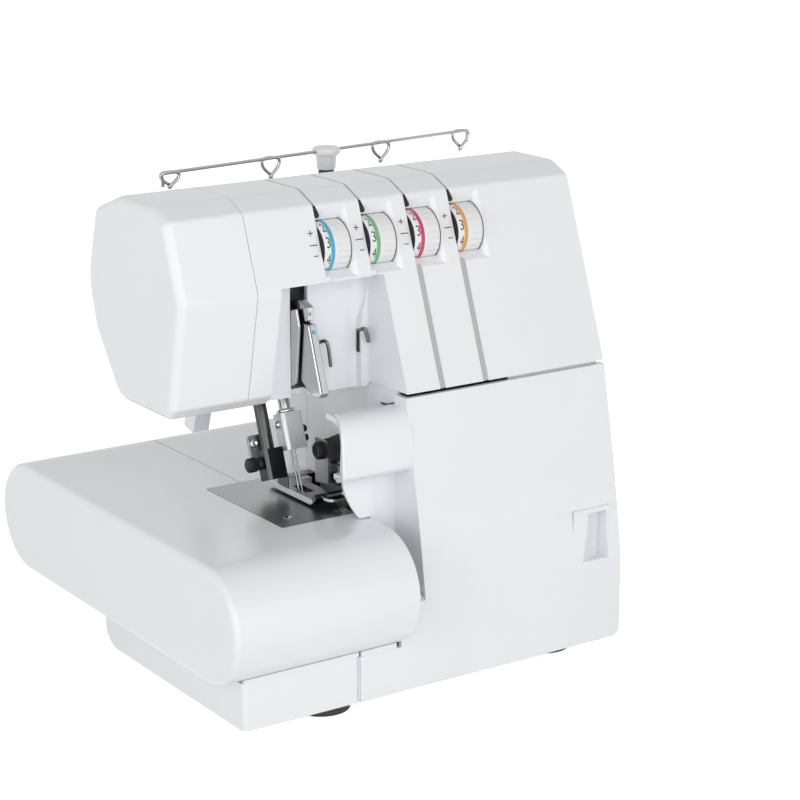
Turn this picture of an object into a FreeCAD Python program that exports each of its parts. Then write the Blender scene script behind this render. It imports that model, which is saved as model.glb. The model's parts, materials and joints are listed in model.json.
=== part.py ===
import FreeCAD, Part
import math
import os

import Sketcher

# Four-thread overlock sewing machine with a detachable extension table, in millimetres.
# Sizes are measured from the machine datum: x from the base's left face to the right,
# y from the front cover's face to the back, z from the base's underside up.
# The finished frame has its origin on the floor, under the middle of the machine.

SIZES = {
    # Moulded parts in general
    "wall": (3, "thickness of the moulded housings"),
    "seam": (0.4, "gap between two mouldings that meet"),
    "slide_gap": (0.4, "gap under a piece that slides"),
    "fit": (0.05, "radial clearance of a running fit"),
    "lean": (20, "degrees that needle bar and dial panel lean back"),
    # Rubber feet and base tray
    "foot_height": (7, "height of a rubber foot"),
    "foot_radius": (18.5, "radius of a foot where it meets the base"),
    "foot_taper": (1.5, "how much narrower a foot is on the floor"),
    "foot_left_x": (66.5, "x of the front left foot"),
    "foot_left_y": (22.5, "y of the front left foot"),
    "foot_right_x": (236, "x of the two right feet"),
    "foot_right_y": (28.5, "y of the front right foot"),
    "base_front_seam": (79, "x where the base meets the front cover"),
    "base_left_depth": (170, "depth of the base under the table"),
    "base_step": (110, "x where the base rises under the bed"),
    "base_right": (271, "x of the base's right wall"),
    "base_shelf": (20, "y of the base's front wall behind the front cover"),
    "base_back": (250, "y of the base's rear wall"),
    "base_heel": (14, "round under the back of the base's left end"),
    # Extension table and bed
    "table_left": (-17, "x of the table's left end"),
    "table_front": (-22, "y of the table's rolled front"),
    "table_back": (280, "y of the table's rolled back"),
    "table_top": (100, "height of the sewing surface"),
    "table_bottom": (29.5, "height of the table's underside"),
    "table_nose": (107, "x where the table's front part ends"),
    "table_seam": (79.5, "x of the seam between table and bed"),
    "table_edge": (4, "round along the table's left end"),
    "split": (136, "y of the seam between front and rear housings"),
    # Free arm and needle plate
    "arm_left": (22, "x of the free arm's left end"),
    "arm_right": (128, "x where the free arm joins the frame"),
    "arm_front": (48, "y of the free arm's front wall"),
    "arm_bottom": (33.5, "height of the free arm's underside"),
    "arm_corner": (8, "round at the free arm's end"),
    "plate_left": (55, "x of the needle plate's left edge"),
    "plate_right": (105.5, "x of the needle plate's right edge"),
    "plate_front": (45.5, "y of the needle plate's front edge"),
    "plate_thick": (3.4, "thickness of the needle plate"),
    # Front cover
    "cover_right": (275, "x of the right end of the covers"),
    "cover_left": (126, "x where the front cover's face ends at the pocket"),
    "cover_bend": (54, "height where the front cover starts to lean back"),
    "cover_mid_y": (8.2, "y of the front cover's face at its middle"),
    "cover_mid_z": (107, "height of the front cover's middle"),
    "cover_top_y": (21, "y of the front cover's top edge"),
    "cover_top": (173, "height of the front cover's top edge"),
    "cover_side": (26, "depth of the front cover's right side"),
    "cover_heel": (6, "round at the front cover's lower right corner"),
    "cover_strip": (28, "height of the strip under the table"),
    "pocket_left": (108.5, "x of the pocket wall's left edge"),
    "pocket_depth": (33, "y of the pocket's deepest point"),
    "nose_left": (90, "x of the left end of the knife hood"),
    "nose_front": (30.6, "y of the knife hood's front"),
    "nose_back": (52, "y of the knife hood's rear edge"),
    "nose_top": (162.5, "height of the knife hood's top"),
    "nose_bottom": (124.5, "height of the knife hood's underside"),
    "nose_round": (16, "round along the knife hood's top"),
    "nose_chin": (8, "round along the knife hood's underside"),
    "grip_left": (239, "x where the finger grip starts"),
    "grip_right": (265, "x of the finger grip's wall"),
    "grip_low": (54, "height of the finger grip's lower end"),
    "grip_high": (84, "height of the finger grip's upper end"),
    "grip_depth": (11, "depth of the finger grip"),
    "hinge_y": (6.6, "y of the front cover's hinge"),
    "hinge_z": (3.4, "height of the front cover's hinge"),
    "hinge_rod": (2, "radius of the hinge rod"),
    "hinge_eye": (3.2, "outer radius of the hinge eyes"),
    "hinge_width": (9, "width of a hinge eye"),
    "hinge_slide": (10, "how far the front cover slides before it swings"),
    # Upper housing
    "upper_bottom": (175.2, "height of the upper housing's lower edge"),
    "head_left": (-10, "x of the head's left end"),
    "head_seam": (41, "x of the seam of the head's end cover"),
    "head_bottom": (170.5, "height of the head's underside"),
    "head_top": (293, "height of the head's crest"),
    "crest_front": (78, "y where the crest starts"),
    "crest_back": (118, "y where the crest ends"),
    "brow_y": (62, "y of the dial panel's upper edge"),
    "brow_drop": (7, "how far the dial panel's upper edge lies below the crest"),
    "belly_z": (241, "height where the head turns back under the panel"),
    "chin_y": (59, "y of the head's lower front corner"),
    "chin_z": (177, "height of the head's lower front corner"),
    "keel_front": (66, "y where the flat underside starts"),
    "keel_back": (124, "y where the flat underside ends"),
    "nape_y": (152, "y of the head's back at the nape"),
    "nape_z": (208.5, "height of the nape"),
    "back_y": (158.5, "y of the housing's back"),
    "back_low": (233, "height where the back turns under the head"),
    "back_high": (245, "height where the back turns to the top"),
    "crown_y": (148, "y of the rear upper edge"),
    "crown_drop": (11, "how far the rear upper edge lies below the crest"),
    "crest_round": (16, "round along the crest and the back"),
    "brow_round": (4, "round along the dial panel's upper edge"),
    "belly_round": (8, "round along the head's belly"),
    "end_round": (6, "round around the head's left end"),
    "column_left": (129, "x of the column's left wall"),
    "column_front": (66, "y where the column's left wall starts"),
    "recess_left": (57, "x of the needle recess's left wall"),
    "recess_right": (127.5, "x of the needle recess's right wall"),
    "recess_floor": (70, "y of the needle recess's back"),
    "recess_round": (9, "round in the needle recess's right rear corner"),
    "lip_z": (243, "height of the panel's lip over the recess"),
    # Thread tension units
    "dial_first": (88, "x of the first thread slot"),
    "dial_pitch": (31.6, "distance between thread slots"),
    "dial_inset": (0.6, "distance from slot to dial"),
    "dial_width": (17.8, "width of a dial"),
    "dial_radius": (16, "radius of a dial"),
    "dial_depth": (11, "distance of the dial's axis behind the panel"),
    "dial_z": (264, "height of the middle of the dial windows"),
    "dial_flute": (0.7, "depth of a dial's grip flutes"),
    "pocket_width": (19, "width of a dial pocket"),
    "pocket_half": (14.8, "half the length of a dial pocket's floor along the panel"),
    "pocket_slope": (6.2, "length of a dial pocket's upper and lower slopes"),
    "pocket_sink": (4.8, "depth of a dial pocket"),
    "panel_back": (6.4, "thickness of the panel behind the dial pockets"),
    "pocket_edge": (4, "round along the right side of a dial pocket"),
    "slot_width": (1.4, "width of a thread slot"),
    "groove_width": (4, "width of the grooves below the dials"),
    "groove_depth": (1.6, "depth of those grooves"),
    "stud_radius": (3, "radius of a tension stud"),
    "disc_radius": (7.4, "radius of a tension disc"),
    "disc_room": (2, "depth of the recess for the discs in a dial's left face"),
    "disc_thick": (0.5, "thickness of a tension disc"),
    "bracket_y": (84, "y of the tension bracket's plate"),
    "ear_half": (3.2, "half the height of a bracket ear"),
    "ear_gap": (2, "distance from a bracket ear to its slot"),
    "dial_edge": (1, "round on a dial's edges"),
    "flute_count": (24, "number of grip flutes on a dial"),
    # Needle, needle bar and take-up
    "needle_x": (100, "x where the needles pass the plate"),
    "needle_y": (97.5, "y where the needles pass the plate"),
    "needle_gap": (2.4, "distance between the two needles"),
    "needle_radius": (0.6, "radius of a needle"),
    "screw_radius": (2, "radius of the small screws"),
    "needle_reach": (27, "length of the needles below their clamp"),
    "clamp_height": (23, "height of the needle clamp"),
    "clamp_width": (15, "width of the needle clamp"),
    "clamp_depth": (12, "depth of the needle clamp"),
    "bar_radius": (3.6, "radius of the needle bar"),
    "bar_top": (136, "top of the needle bar along its lean"),
    "stroke_down": (11, "travel of the needle bar below rest"),
    "bush_low": (113, "start of the bar bushes along the lean"),
    "bush_length": (14, "length of a bar bush"),
    "bush_wall": (2.2, "wall of a bush"),
    "takeup_y": (100, "y of the take-up lever's pin"),
    "takeup_z": (222, "height of the take-up lever's pin"),
    "takeup_pin": (4, "radius of the take-up lever's pin"),
    "takeup_hub": (9, "radius of the take-up lever's hub"),
    "takeup_front": (58, "y of the take-up lever's upper finger"),
    "takeup_tip": (43, "y of the take-up lever's lower tip"),
    "takeup_step": (214, "height of the step below the upper finger"),
    "takeup_top": (222, "height of the take-up lever's upper finger"),
    "takeup_low": (174, "height of the take-up lever's lower edge"),
    "takeup_left": (80, "x of the take-up lever's left side"),
    "takeup_thick": (6, "thickness of the take-up lever"),
    # Presser foot
    "presser_x": (-17, "presser bar beside the needle bar"),
    "presser_radius": (4, "radius of the presser bar"),
    "presser_low": (14, "lower end of the presser bar along its lean"),
    "presser_top": (136, "top of the presser bar along its lean"),
    "ankle_half": (6.5, "half the width of the presser foot's ankle"),
    "ankle_height": (16, "height of the ankle round the bar"),
    "knob_length": (10, "length of the foot's thumb screw"),
    "knob_radius": (4.5, "radius of the foot's thumb screw"),
    "toe_curl": (5, "rise of the presser foot's toe"),
    "lever_y": (134, "y of the lifter lever's pin"),
    "lever_z": (204, "height of the lifter lever's pin"),
    "lever_hub": (7, "radius of the lifter lever's hub"),
    "lever_pin": (2.5, "radius of the lifter lever's pin"),
    "lever_tip": (131, "height of the lifter lever's tip"),
    "lever_width": (11, "width of the lifter lever"),
    "lever_thick": (6, "thickness of the lifter lever"),
    "hanger_gap": (1.5, "side gap between hanger, lever and presser bar"),
    "block_half": (8, "half the thickness of the block that guides the bars"),
    "foot_sole": (101.3, "height of the presser foot's sole"),
    "foot_left": (90, "x of the presser foot's left edge"),
    "foot_right": (110, "x of the presser foot's right edge"),
    "foot_toe": (64, "y of the presser foot's toe"),
    "foot_heel": (118, "y of the presser foot's heel"),
    "foot_thick": (2, "thickness of the presser foot's sole"),
    # Knives, loopers and feed
    "knife_pivot_y": (56, "y of the upper knife's shaft"),
    "knife_pivot_z": (142, "height of the upper knife's shaft"),
    "knife_shaft": (5, "radius of the upper knife's shaft"),
    "knife_x": (112.6, "x of the upper knife's cutting side"),
    "knife_thick": (2, "thickness of a knife"),
    "knife_front": (86, "y of the upper knife's front edge"),
    "knife_back": (101, "y of the upper knife's rear edge"),
    "knife_tip": (103.5, "height of the upper knife's tip at rest"),
    "knife_rise": (21, "height of the knife's screw above its tip"),
    "knife_head": (8, "radius of the knife arm's head"),
    "knife_slant": (3, "slant of the upper knife's edge"),
    "looper_y": (110, "y of the lower looper"),
    "looper_thick": (4, "thickness of a looper"),
    "looper_hub": (6, "radius of a looper's hub"),
    "looper_pin": (2.5, "radius of a looper's pin"),
    "looper_tip": (88, "height of the lower looper's tip"),
    "lower_looper_x": (117, "x of the lower looper's pin"),
    "lower_looper_z": (46, "height of the lower looper's pin"),
    "upper_looper_x": (124.5, "x of the upper looper's pin"),
    "upper_looper_z": (66, "height of the upper looper's pin"),
    "feed_left": (92.5, "x of the feed dog's left side"),
    "feed_width": (5, "width of the feed dog"),
    "feed_front": (70, "y of the feed dog's front"),
    "feed_back": (118, "y of the feed dog's back"),
    "feed_travel": (2, "travel of the feed dog each way"),
    "feed_teeth": (20, "number of teeth on the feed dog"),
    "tooth_share": (0.8, "share of a tooth's pitch that its slope takes"),
    "shelf_front": (67, "y of the front shelf's edge under the feed bar"),
    "shelf_back": (121, "y of the rear shelf's edge under the feed bar"),
    # Drive
    "shaft_y": (90, "y of the main shaft"),
    "shaft_z": (84, "height of the main shaft"),
    "shaft_radius": (5, "radius of the main shaft"),
    "frame_left": (133, "x of the frame's left wall"),
    "frame_wall": (8, "thickness of the frame's walls"),
    "frame_second": (226, "x of the frame's right wall"),
    "frame_front": (74, "y of the frame's sole"),
    "frame_nose": (46, "y of the left wall's front, which carries the knife"),
    "frame_back": (128, "y of the frame's back"),
    "frame_top": (156, "height of the frame's bearing walls"),
    "beam_front": (112, "y of the arm beam's front"),
    "beam_left": (62, "x of the arm beam's left end"),
    "beam_low": (246, "height of the arm beam's underside"),
    "beam_high": (262, "height of the arm beam's top"),
    "wheel_left": (277.5, "x of the handwheel's inner side"),
    "wheel_right": (295, "x of the handwheel's outer side"),
    "wheel_radius": (31, "radius of the handwheel"),
    "pulley_left": (244, "x of the belt pulleys"),
    "belt_width": (9, "width of the drive belt"),
    "belt_thick": (1.6, "thickness of the drive belt"),
    "pulley_radius": (26, "radius of the large pulley"),
    "motor_y": (198, "y of the motor's axis"),
    "motor_z": (63, "height of the motor's axis"),
    "motor_radius": (24, "radius of the motor"),
    "motor_left": (150, "x of the motor's left end"),
    "motor_length": (78, "length of the motor"),
    "motor_shaft": (3, "radius of the motor's shaft"),
    "small_pulley": (8, "radius of the motor's pulley"),
    "belt_gap": (0.3, "gap between belt and pulleys"),
    "grip_out": (1.9, "distance of a grip scallop's middle outside the handwheel"),
    "wheel_grips": (18, "number of grips round the handwheel"),
    # Controls on the right side
    "dial_row_z": (146, "height of the two side dials"),
    "dial_row_front": (58, "y of the stitch length dial"),
    "dial_row_back": (104, "y of the differential feed dial"),
    "knob_dial": (13, "radius of a side dial"),
    "knob_depth": (9, "depth of a side dial"),
    "knob_stem": (4, "radius of a side dial's stem"),
    "switch_y": (46, "y of the power switch"),
    "switch_z": (46, "height of the power switch and the inlet"),
    "switch_half": (9, "half the height of the switch rocker"),
    "switch_taper": (2.7, "how much shorter the rocker is inside"),
    "switch_width": (12, "width of the switch rocker"),
    "switch_depth": (16, "depth of switch and inlet inside the cover"),
    "switch_pin": (2, "radius of the rocker's pin"),
    "switch_pin_in": (8, "depth of the rocker's pin behind the cover's face"),
    "inlet_y": (112, "y of the power inlet"),
    "inlet_width": (22, "width of the power inlet"),
    "prong_radius": (1.2, "radius of a prong in the power inlet"),
    "inlet_height": (14, "height of the power inlet"),
    # Thread stand
    "mast_x": (170, "x of the telescopic mast"),
    "mast_y": (176, "y of the telescopic mast"),
    "mast_tube": (6.2, "outer radius of the mast's tube"),
    "mast_rod": (4.3, "radius of the mast's sliding rod"),
    "mast_tube_top": (278, "height of the mast's tube"),
    "bar_z": (295, "height of the thread guide bar"),
    "bar_wire": (1.1, "radius of the guide bar's wire"),
    "bar_reach": (125, "length of the guide bar each side of the mast"),
    "bar_turn": (8, "degrees that the guide bar is turned at rest"),
    "cap_radius": (7.3, "radius of the guide's cap"),
    "cap_collar": (9, "length of the cap's collar on the mast"),
    "loop_radius": (4.6, "radius of a thread loop"),
    "loop_half": (0.9, "half the thickness of a thread loop"),
    "loop_hole": (3.3, "radius of the hole in a thread loop"),
    "loop_inner": (43.5, "distance of the inner thread loops from the mast"),
    "hook_first": (97, "x of the left thread hook"),
    "hook_second": (118, "x of the right thread hook"),
    "hook_z": (203, "height of the thread hooks"),
    "hook_reach": (8, "reach of a thread hook and drop of the right one"),
    "hook_drop": (15, "drop of the left thread hook"),
    "stand_left": (50, "x of the spool stand's left end"),
    "stand_right": (288, "x of the spool stand's right end"),
    "stand_back": (320, "y of the spool stand's rear edge"),
    "stand_bottom": (12, "height of the spool stand's underside"),
    "stand_thick": (4, "thickness of the spool stand"),
    "spool_first": (76, "x of the first spool pin"),
    "spool_pitch": (63, "distance between spool pins"),
    "spool_y": (298, "y of the spool pins"),
    "spool_seat": (20, "radius of a spool seat"),
    "pin_radius": (2.5, "radius of a spool pin"),
    "pin_top": (78, "height of a spool pin"),
}

doc = FreeCAD.newDocument("overlock_machine")
sheet = doc.addObject("Spreadsheet::Sheet", "Sizes")
for row, (alias, (number, meaning)) in enumerate(SIZES.items(), start=1):
    sheet.set(f"A{row}", alias)
    sheet.set(f"B{row}", str(number))
    sheet.setAlias(f"B{row}", alias)
    sheet.set(f"C{row}", meaning)
doc.recompute()


class Size:
    """A length or an angle that remembers the formula it was worked out from."""

    def __init__(self, value, text):
        self.value = value
        self.text = text

    def __add__(self, other):
        other = as_size(other)
        return Size(self.value + other.value, f"({self.text} + {other.text})")

    def __sub__(self, other):
        other = as_size(other)
        return Size(self.value - other.value, f"({self.text} - {other.text})")

    def __mul__(self, other):
        other = as_size(other)
        return Size(self.value * other.value, f"({self.text} * {other.text})")

    def __truediv__(self, other):
        other = as_size(other)
        return Size(self.value / other.value, f"({self.text} / {other.text})")

    def __radd__(self, other):
        return as_size(other) + self

    def __rsub__(self, other):
        return as_size(other) - self

    def __rmul__(self, other):
        return as_size(other) * self

    def __neg__(self):
        return Size(-self.value, f"(0 - {self.text})")


class Sheet:
    """The sheet's cells by name, as sizes."""

    def __getattr__(self, alias):
        return Size(float(sheet.get(alias)), f"Sizes.{alias}")


def as_size(number):
    """Wrap a plain number so that it can stand in a formula."""
    return number if isinstance(number, Size) else Size(number, f"({number})")


def sine(angle):
    return Size(math.sin(math.radians(angle.value)), f"sin({angle.text})")


def cosine(angle):
    return Size(math.cos(math.radians(angle.value)), f"cos({angle.text})")


def tangent(angle):
    return Size(math.tan(math.radians(angle.value)), f"tan({angle.text})")


def between(first, last, y):
    """Height at depth y on the line from one (y, z) point to another."""
    share = (y - first[0]) / (last[0] - first[0])
    return first[1] + (last[1] - first[1]) * share


def root(square):
    return Size(math.sqrt(square.value), f"sqrt({square.text})")


def length_of(u, v):
    return Size(math.hypot(u.value, v.value), f"sqrt({u.text} ^ 2 + {v.text} ^ 2)")


def inset(points, wall, open_sides=()):
    """Outline moved inwards by a wall, and outwards by it on its open sides.

    Side n runs from point n to the next one, and the outline turns left.
    """
    count = len(points)
    points = [(as_size(u), as_size(v)) for u, v in points]
    runs = []
    for n, (u, v) in enumerate(points):
        next_u, next_v = points[(n + 1) % count]
        runs.append((next_u - u, next_v - v))
    shifts = [-wall if n in open_sides else wall for n in range(count)]
    moved = []
    for n, (u, v) in enumerate(points):
        (au, av), (bu, bv) = runs[n - 1], runs[n]
        a_push = shifts[n - 1] * length_of(au, av)
        b_push = shifts[n] * length_of(bu, bv)
        turn = au * bv - av * bu
        moved.append((u + (a_push * bu - b_push * au) / turn, v + (a_push * bv - b_push * av) / turn))
    return moved


S = Sheet()
SHIFT = (
    (S.table_left + S.wheel_right) / -2,
    (S.table_front + S.stand_back) / -2,
    S.foot_height,
)
PLANES = {"x": "YZ_Plane", "y": "XZ_Plane", "z": "XY_Plane"}
TURNS = {
    "x": FreeCAD.Rotation(FreeCAD.Vector(0, 1, 0), 90),
    "y": FreeCAD.Rotation(FreeCAD.Vector(1, 0, 0), -90),
    "z": FreeCAD.Rotation(),
}
NEEDLE_POINT = (S.needle_x, S.needle_y, S.table_top)
MACHINE = (as_size(0), as_size(0), as_size(0))
TOUCH = 0.001
finished = []


def bind(thing, name, size):
    """Tie one property of a document object to a formula."""
    thing.setExpression(name, as_size(size).text)


def place(thing, point):
    """Put an object at a point of the machine datum, moved to the finished frame."""
    for letter, here, shift in zip("xyz", point, SHIFT):
        bind(thing, f"Placement.Base.{letter}", here + shift)


def leaned(x, y, z):
    """Point beside the needle axis: x sideways, y behind it and z along it."""
    x, y, z = (as_size(here) for here in (x, y, z))
    return (
        S.needle_x + x,
        S.needle_y + y * cosine(S.lean) + z * sine(S.lean),
        S.table_top - y * sine(S.lean) + z * cosine(S.lean),
    )


def lean_over(thing):
    """Turn an object to the lean of the needle bar."""
    thing.Placement = FreeCAD.Placement(
        FreeCAD.Vector(), FreeCAD.Rotation(FreeCAD.Vector(-1, 0, 0), S.lean.value)
    )
    bind(thing, "Placement.Rotation.Angle", S.lean)


def finish(label, thing):
    """Name a sub-part and keep it for export."""
    thing.Label = label
    finished.append(thing)
    return thing


class Piece:
    """A sub-part made from sketches, padded and pocketed along the machine's axes."""

    def __init__(self, label, at=MACHINE, leans=False, turn=None):
        self.label = label
        self.body = doc.addObject("PartDesign::Body", f"{label}_body")
        if leans:
            lean_over(self.body)
        if turn:
            upright = FreeCAD.Rotation(FreeCAD.Vector(0, 0, 1), turn.value)
            self.body.Placement = FreeCAD.Placement(FreeCAD.Vector(), upright)
            bind(self.body, "Placement.Rotation.Angle", turn)
        place(self.body, at)
        finish(label, self.body)

    def sketch(self, axis, low, high, cut):
        """Start a sketch square to an axis, where the feature begins."""
        sketch = self.body.newObject("Sketcher::SketchObject", f"{self.label}_sketch")
        plane = next(f for f in self.body.Origin.OriginFeatures if f.Role == PLANES[axis])
        sketch.AttachmentSupport = [(plane, "")]
        sketch.MapMode = "FlatFace"
        if axis == "y":
            start = -low if cut else -high
        else:
            start = high if cut else low
        bind(sketch, "AttachmentOffset.Base.z", start)
        return sketch

    def extrude(self, sketch, low, high, cut):
        """Pad or pocket a sketch between two places on its axis."""
        kind = "Pocket" if cut else "Pad"
        feature = self.body.newObject(f"PartDesign::{kind}", f"{self.label}_{kind}")
        feature.Profile = sketch
        bind(feature, "Length", high - low)
        doc.recompute()

    def prism(self, axis, points, low, high, arcs=None, cut=False):
        """Extrude an outline; arcs maps a side's number to the centre it bends about."""
        low, high = as_size(low), as_size(high)
        points = [(as_size(u), as_size(v)) for u, v in points]
        arcs = arcs or {}
        sketch = self.sketch(axis, low, high, cut)
        corners = [FreeCAD.Vector(u.value, v.value, 0) for u, v in points]
        for side, start in enumerate(corners):
            end = corners[(side + 1) % len(corners)]
            sketch.addGeometry(side_curve(start, end, arcs.get(side)), False)
        for side in range(len(points)):
            before = (side - 1) % len(points)
            sketch.addConstraint(Sketcher.Constraint("Coincident", before, 2, side, 1))
        for side, (u, v) in enumerate(points):
            self.fix(sketch, "DistanceX", side, 1, u)
            self.fix(sketch, "DistanceY", side, 1, v)
        for side, centre in arcs.items():
            self.fix(sketch, "DistanceX", side, 3, as_size(centre[0]))
        self.extrude(sketch, low, high, cut)

    def disc(self, axis, centre, radius, low, high, cut=False):
        """Extrude a circle."""
        low, high = as_size(low), as_size(high)
        u, v, radius = as_size(centre[0]), as_size(centre[1]), as_size(radius)
        sketch = self.sketch(axis, low, high, cut)
        middle = FreeCAD.Vector(u.value, v.value, 0)
        circle = Part.Circle(middle, FreeCAD.Vector(0, 0, 1), radius.value)
        sketch.addGeometry(circle, False)
        self.fix(sketch, "DistanceX", 0, 3, u)
        self.fix(sketch, "DistanceY", 0, 3, v)
        index = sketch.addConstraint(Sketcher.Constraint("Radius", 0, radius.value))
        bind(sketch, f"Constraints[{index}]", radius)
        self.extrude(sketch, low, high, cut)

    @staticmethod
    def fix(sketch, kind, side, end, size):
        """Hold one coordinate of a sketch point at a formula."""
        index = sketch.addConstraint(Sketcher.Constraint(kind, side, end, size.value))
        bind(sketch, f"Constraints[{index}]", size)

    def block(self, xs, ys, zs, cut=False):
        """Extrude a rectangle from its ranges along the three axes."""
        (x0, x1), (y0, y1) = xs, ys
        self.prism("z", [(x0, y0), (x1, y0), (x1, y1), (x0, y1)], zs[0], zs[1], cut=cut)

    def round(self, axis, corners, radius):
        """Fillet the straight edges along an axis that pass through the given corners."""
        wanted = [(as_size(u).value, as_size(v).value) for u, v in corners]
        keep = ["xyz".index(letter) for letter in "xyz" if letter != axis]

        def along(edge):
            ends = [[vertex.Point[k] for k in keep] for vertex in edge.Vertexes]
            return any(
                all(math.dist(end, corner) < TOUCH for end in ends) for corner in wanted
            )

        self.fillet(along, radius)

    def fillet(self, choose, radius):
        """Fillet the edges that a rule picks."""
        base = self.body.Tip
        names = [f"Edge{n}" for n, edge in enumerate(base.Shape.Edges, start=1) if choose(edge)]
        feature = self.body.newObject("PartDesign::Fillet", f"{self.label}_Fillet")
        feature.Base = (base, names)
        bind(feature, "Radius", radius)
        doc.recompute()

    def repeat_about(self, axis, count):
        """Repeat the last feature evenly about an axis through the piece's own origin."""
        last = self.body.Tip
        pattern = self.body.newObject("PartDesign::PolarPattern", f"{self.label}_Pattern")
        pattern.Originals = [last]
        line = next(f for f in self.body.Origin.OriginFeatures if f.Role == f"{axis.upper()}_Axis")
        pattern.Axis = (line, [""])
        pattern.Angle = 360
        bind(pattern, "Occurrences", count)
        self.body.Tip = pattern
        doc.recompute()

    def repeat_along(self, axis, length, count):
        """Repeat the last feature evenly along an axis."""
        last = self.body.Tip
        pattern = self.body.newObject("PartDesign::LinearPattern", f"{self.label}_Pattern")
        pattern.Originals = [last]
        line = next(f for f in self.body.Origin.OriginFeatures if f.Role == f"{axis.upper()}_Axis")
        pattern.Direction = (line, [""])
        bind(pattern, "Length", length)
        bind(pattern, "Occurrences", count)
        self.body.Tip = pattern
        doc.recompute()

    def shell(self, open_faces, thickness):
        """Hollow the piece out, leaving open the flat faces at the given places."""
        base = self.body.Tip
        names = []
        for n, face in enumerate(base.Shape.Faces, start=1):
            box = face.BoundBox
            for axis, where in open_faces:
                low, high = (getattr(box, f"{axis.upper()}{end}") for end in ("Min", "Max"))
                level = as_size(where).value
                if abs(low - level) < TOUCH and abs(high - level) < TOUCH:
                    names.append(f"Face{n}")
        feature = self.body.newObject("PartDesign::Thickness", f"{self.label}_Thickness")
        feature.Base = (base, names)
        feature.Join = 1
        feature.Reversed = True
        bind(feature, "Value", thickness)
        doc.recompute()


def side_curve(start, end, centre):
    """One side of an outline: a line, or an arc turning left about a centre."""
    if centre is None:
        return Part.LineSegment(start, end)
    middle = FreeCAD.Vector(as_size(centre[0]).value, as_size(centre[1]).value, 0)
    circle = Part.Circle(middle, FreeCAD.Vector(0, 0, 1), (start - middle).Length)
    first = math.atan2(start.y - middle.y, start.x - middle.x)
    last = math.atan2(end.y - middle.y, end.x - middle.x)
    return Part.ArcOfCircle(circle, first, last)


def box(name, xs, ys, zs):
    """A plain block between ranges along the three axes."""
    block = doc.addObject("Part::Box", name)
    for letter, (low, high) in zip(("Length", "Width", "Height"), (xs, ys, zs)):
        bind(block, letter, high - as_size(low))
    place(block, [as_size(low) for low, high in (xs, ys, zs)])
    return block


def rod(name, axis, point, length, radius, top_radius=None):
    """A cylinder, or a cone, from a point along an axis."""
    if top_radius is None:
        solid = doc.addObject("Part::Cylinder", name)
        bind(solid, "Radius", radius)
    else:
        solid = doc.addObject("Part::Cone", name)
        bind(solid, "Radius1", radius)
        bind(solid, "Radius2", top_radius)
    bind(solid, "Height", length)
    solid.Placement = FreeCAD.Placement(FreeCAD.Vector(), TURNS[axis])
    place(solid, [as_size(here) for here in point])
    return solid


def leaned_rod(name, x, y, low, high, radius):
    """A cylinder beside the needle axis, with the same lean."""
    solid = doc.addObject("Part::Cylinder", name)
    bind(solid, "Radius", radius)
    bind(solid, "Height", as_size(high) - low)
    lean_over(solid)
    place(solid, leaned(as_size(x), as_size(y), as_size(low)))
    return solid


def leaned_box(name, xs, ys, zs):
    """A block beside the needle axis, with the same lean."""
    block = doc.addObject("Part::Box", name)
    for letter, (low, high) in zip(("Length", "Width", "Height"), (xs, ys, zs)):
        bind(block, letter, as_size(high) - low)
    lean_over(block)
    place(block, leaned(*(as_size(low) for low, high in (xs, ys, zs))))
    return block


def fuse(name, *solids):
    """Join solids, or hold separate ones as a group."""
    joined = doc.addObject("Part::MultiFuse", name)
    joined.Shapes = list(solids)
    return joined


def cut(name, base, *tools):
    """Take tools out of a solid."""
    result = doc.addObject("Part::Cut", name)
    result.Base = base
    result.Tool = tools[0] if len(tools) == 1 else fuse(f"{name}_tools", *tools)
    return result


ROLL = (S.table_top - S.table_bottom) / 2
ROLL_MID = (S.table_top + S.table_bottom) / 2
PANEL_SLOPE = tangent(S.lean)
BROW = (S.brow_y, S.head_top - S.brow_drop)


def panel_y(z):
    """Depth of the dial panel's face at a height."""
    return S.brow_y - (BROW[1] - z) * PANEL_SLOPE


BELLY = (panel_y(S.belly_z), S.belly_z)
CREST = ((S.crest_front, S.head_top), (S.crest_back, S.head_top))
CROWN = (S.crown_y, S.head_top - S.crown_drop)
BACK = ((S.back_y, S.back_high), (S.back_y, S.back_low))
NAPE = (S.nape_y, S.nape_z)
KEEL = ((S.keel_back, S.head_bottom), (S.keel_front, S.head_bottom))
CHIN = (S.chin_y, S.chin_z)
SPLIT_TOP = (S.split, between(CREST[1], CROWN, S.split))
SPLIT_LOW = (S.split, between(KEEL[0], NAPE, S.split))
SLOTS = [S.dial_first + S.dial_pitch * n for n in range(4)]


def on_panel(along, deep):
    """Point on the dial panel, counted up it from the dials' middle and straight into it."""
    along, deep = as_size(along), as_size(deep)
    return (
        panel_y(S.dial_z) + along * sine(S.lean) + deep * cosine(S.lean),
        S.dial_z + along * cosine(S.lean) - deep * sine(S.lean),
    )


DIAL_AXIS = on_panel(0, S.dial_depth)


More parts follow.
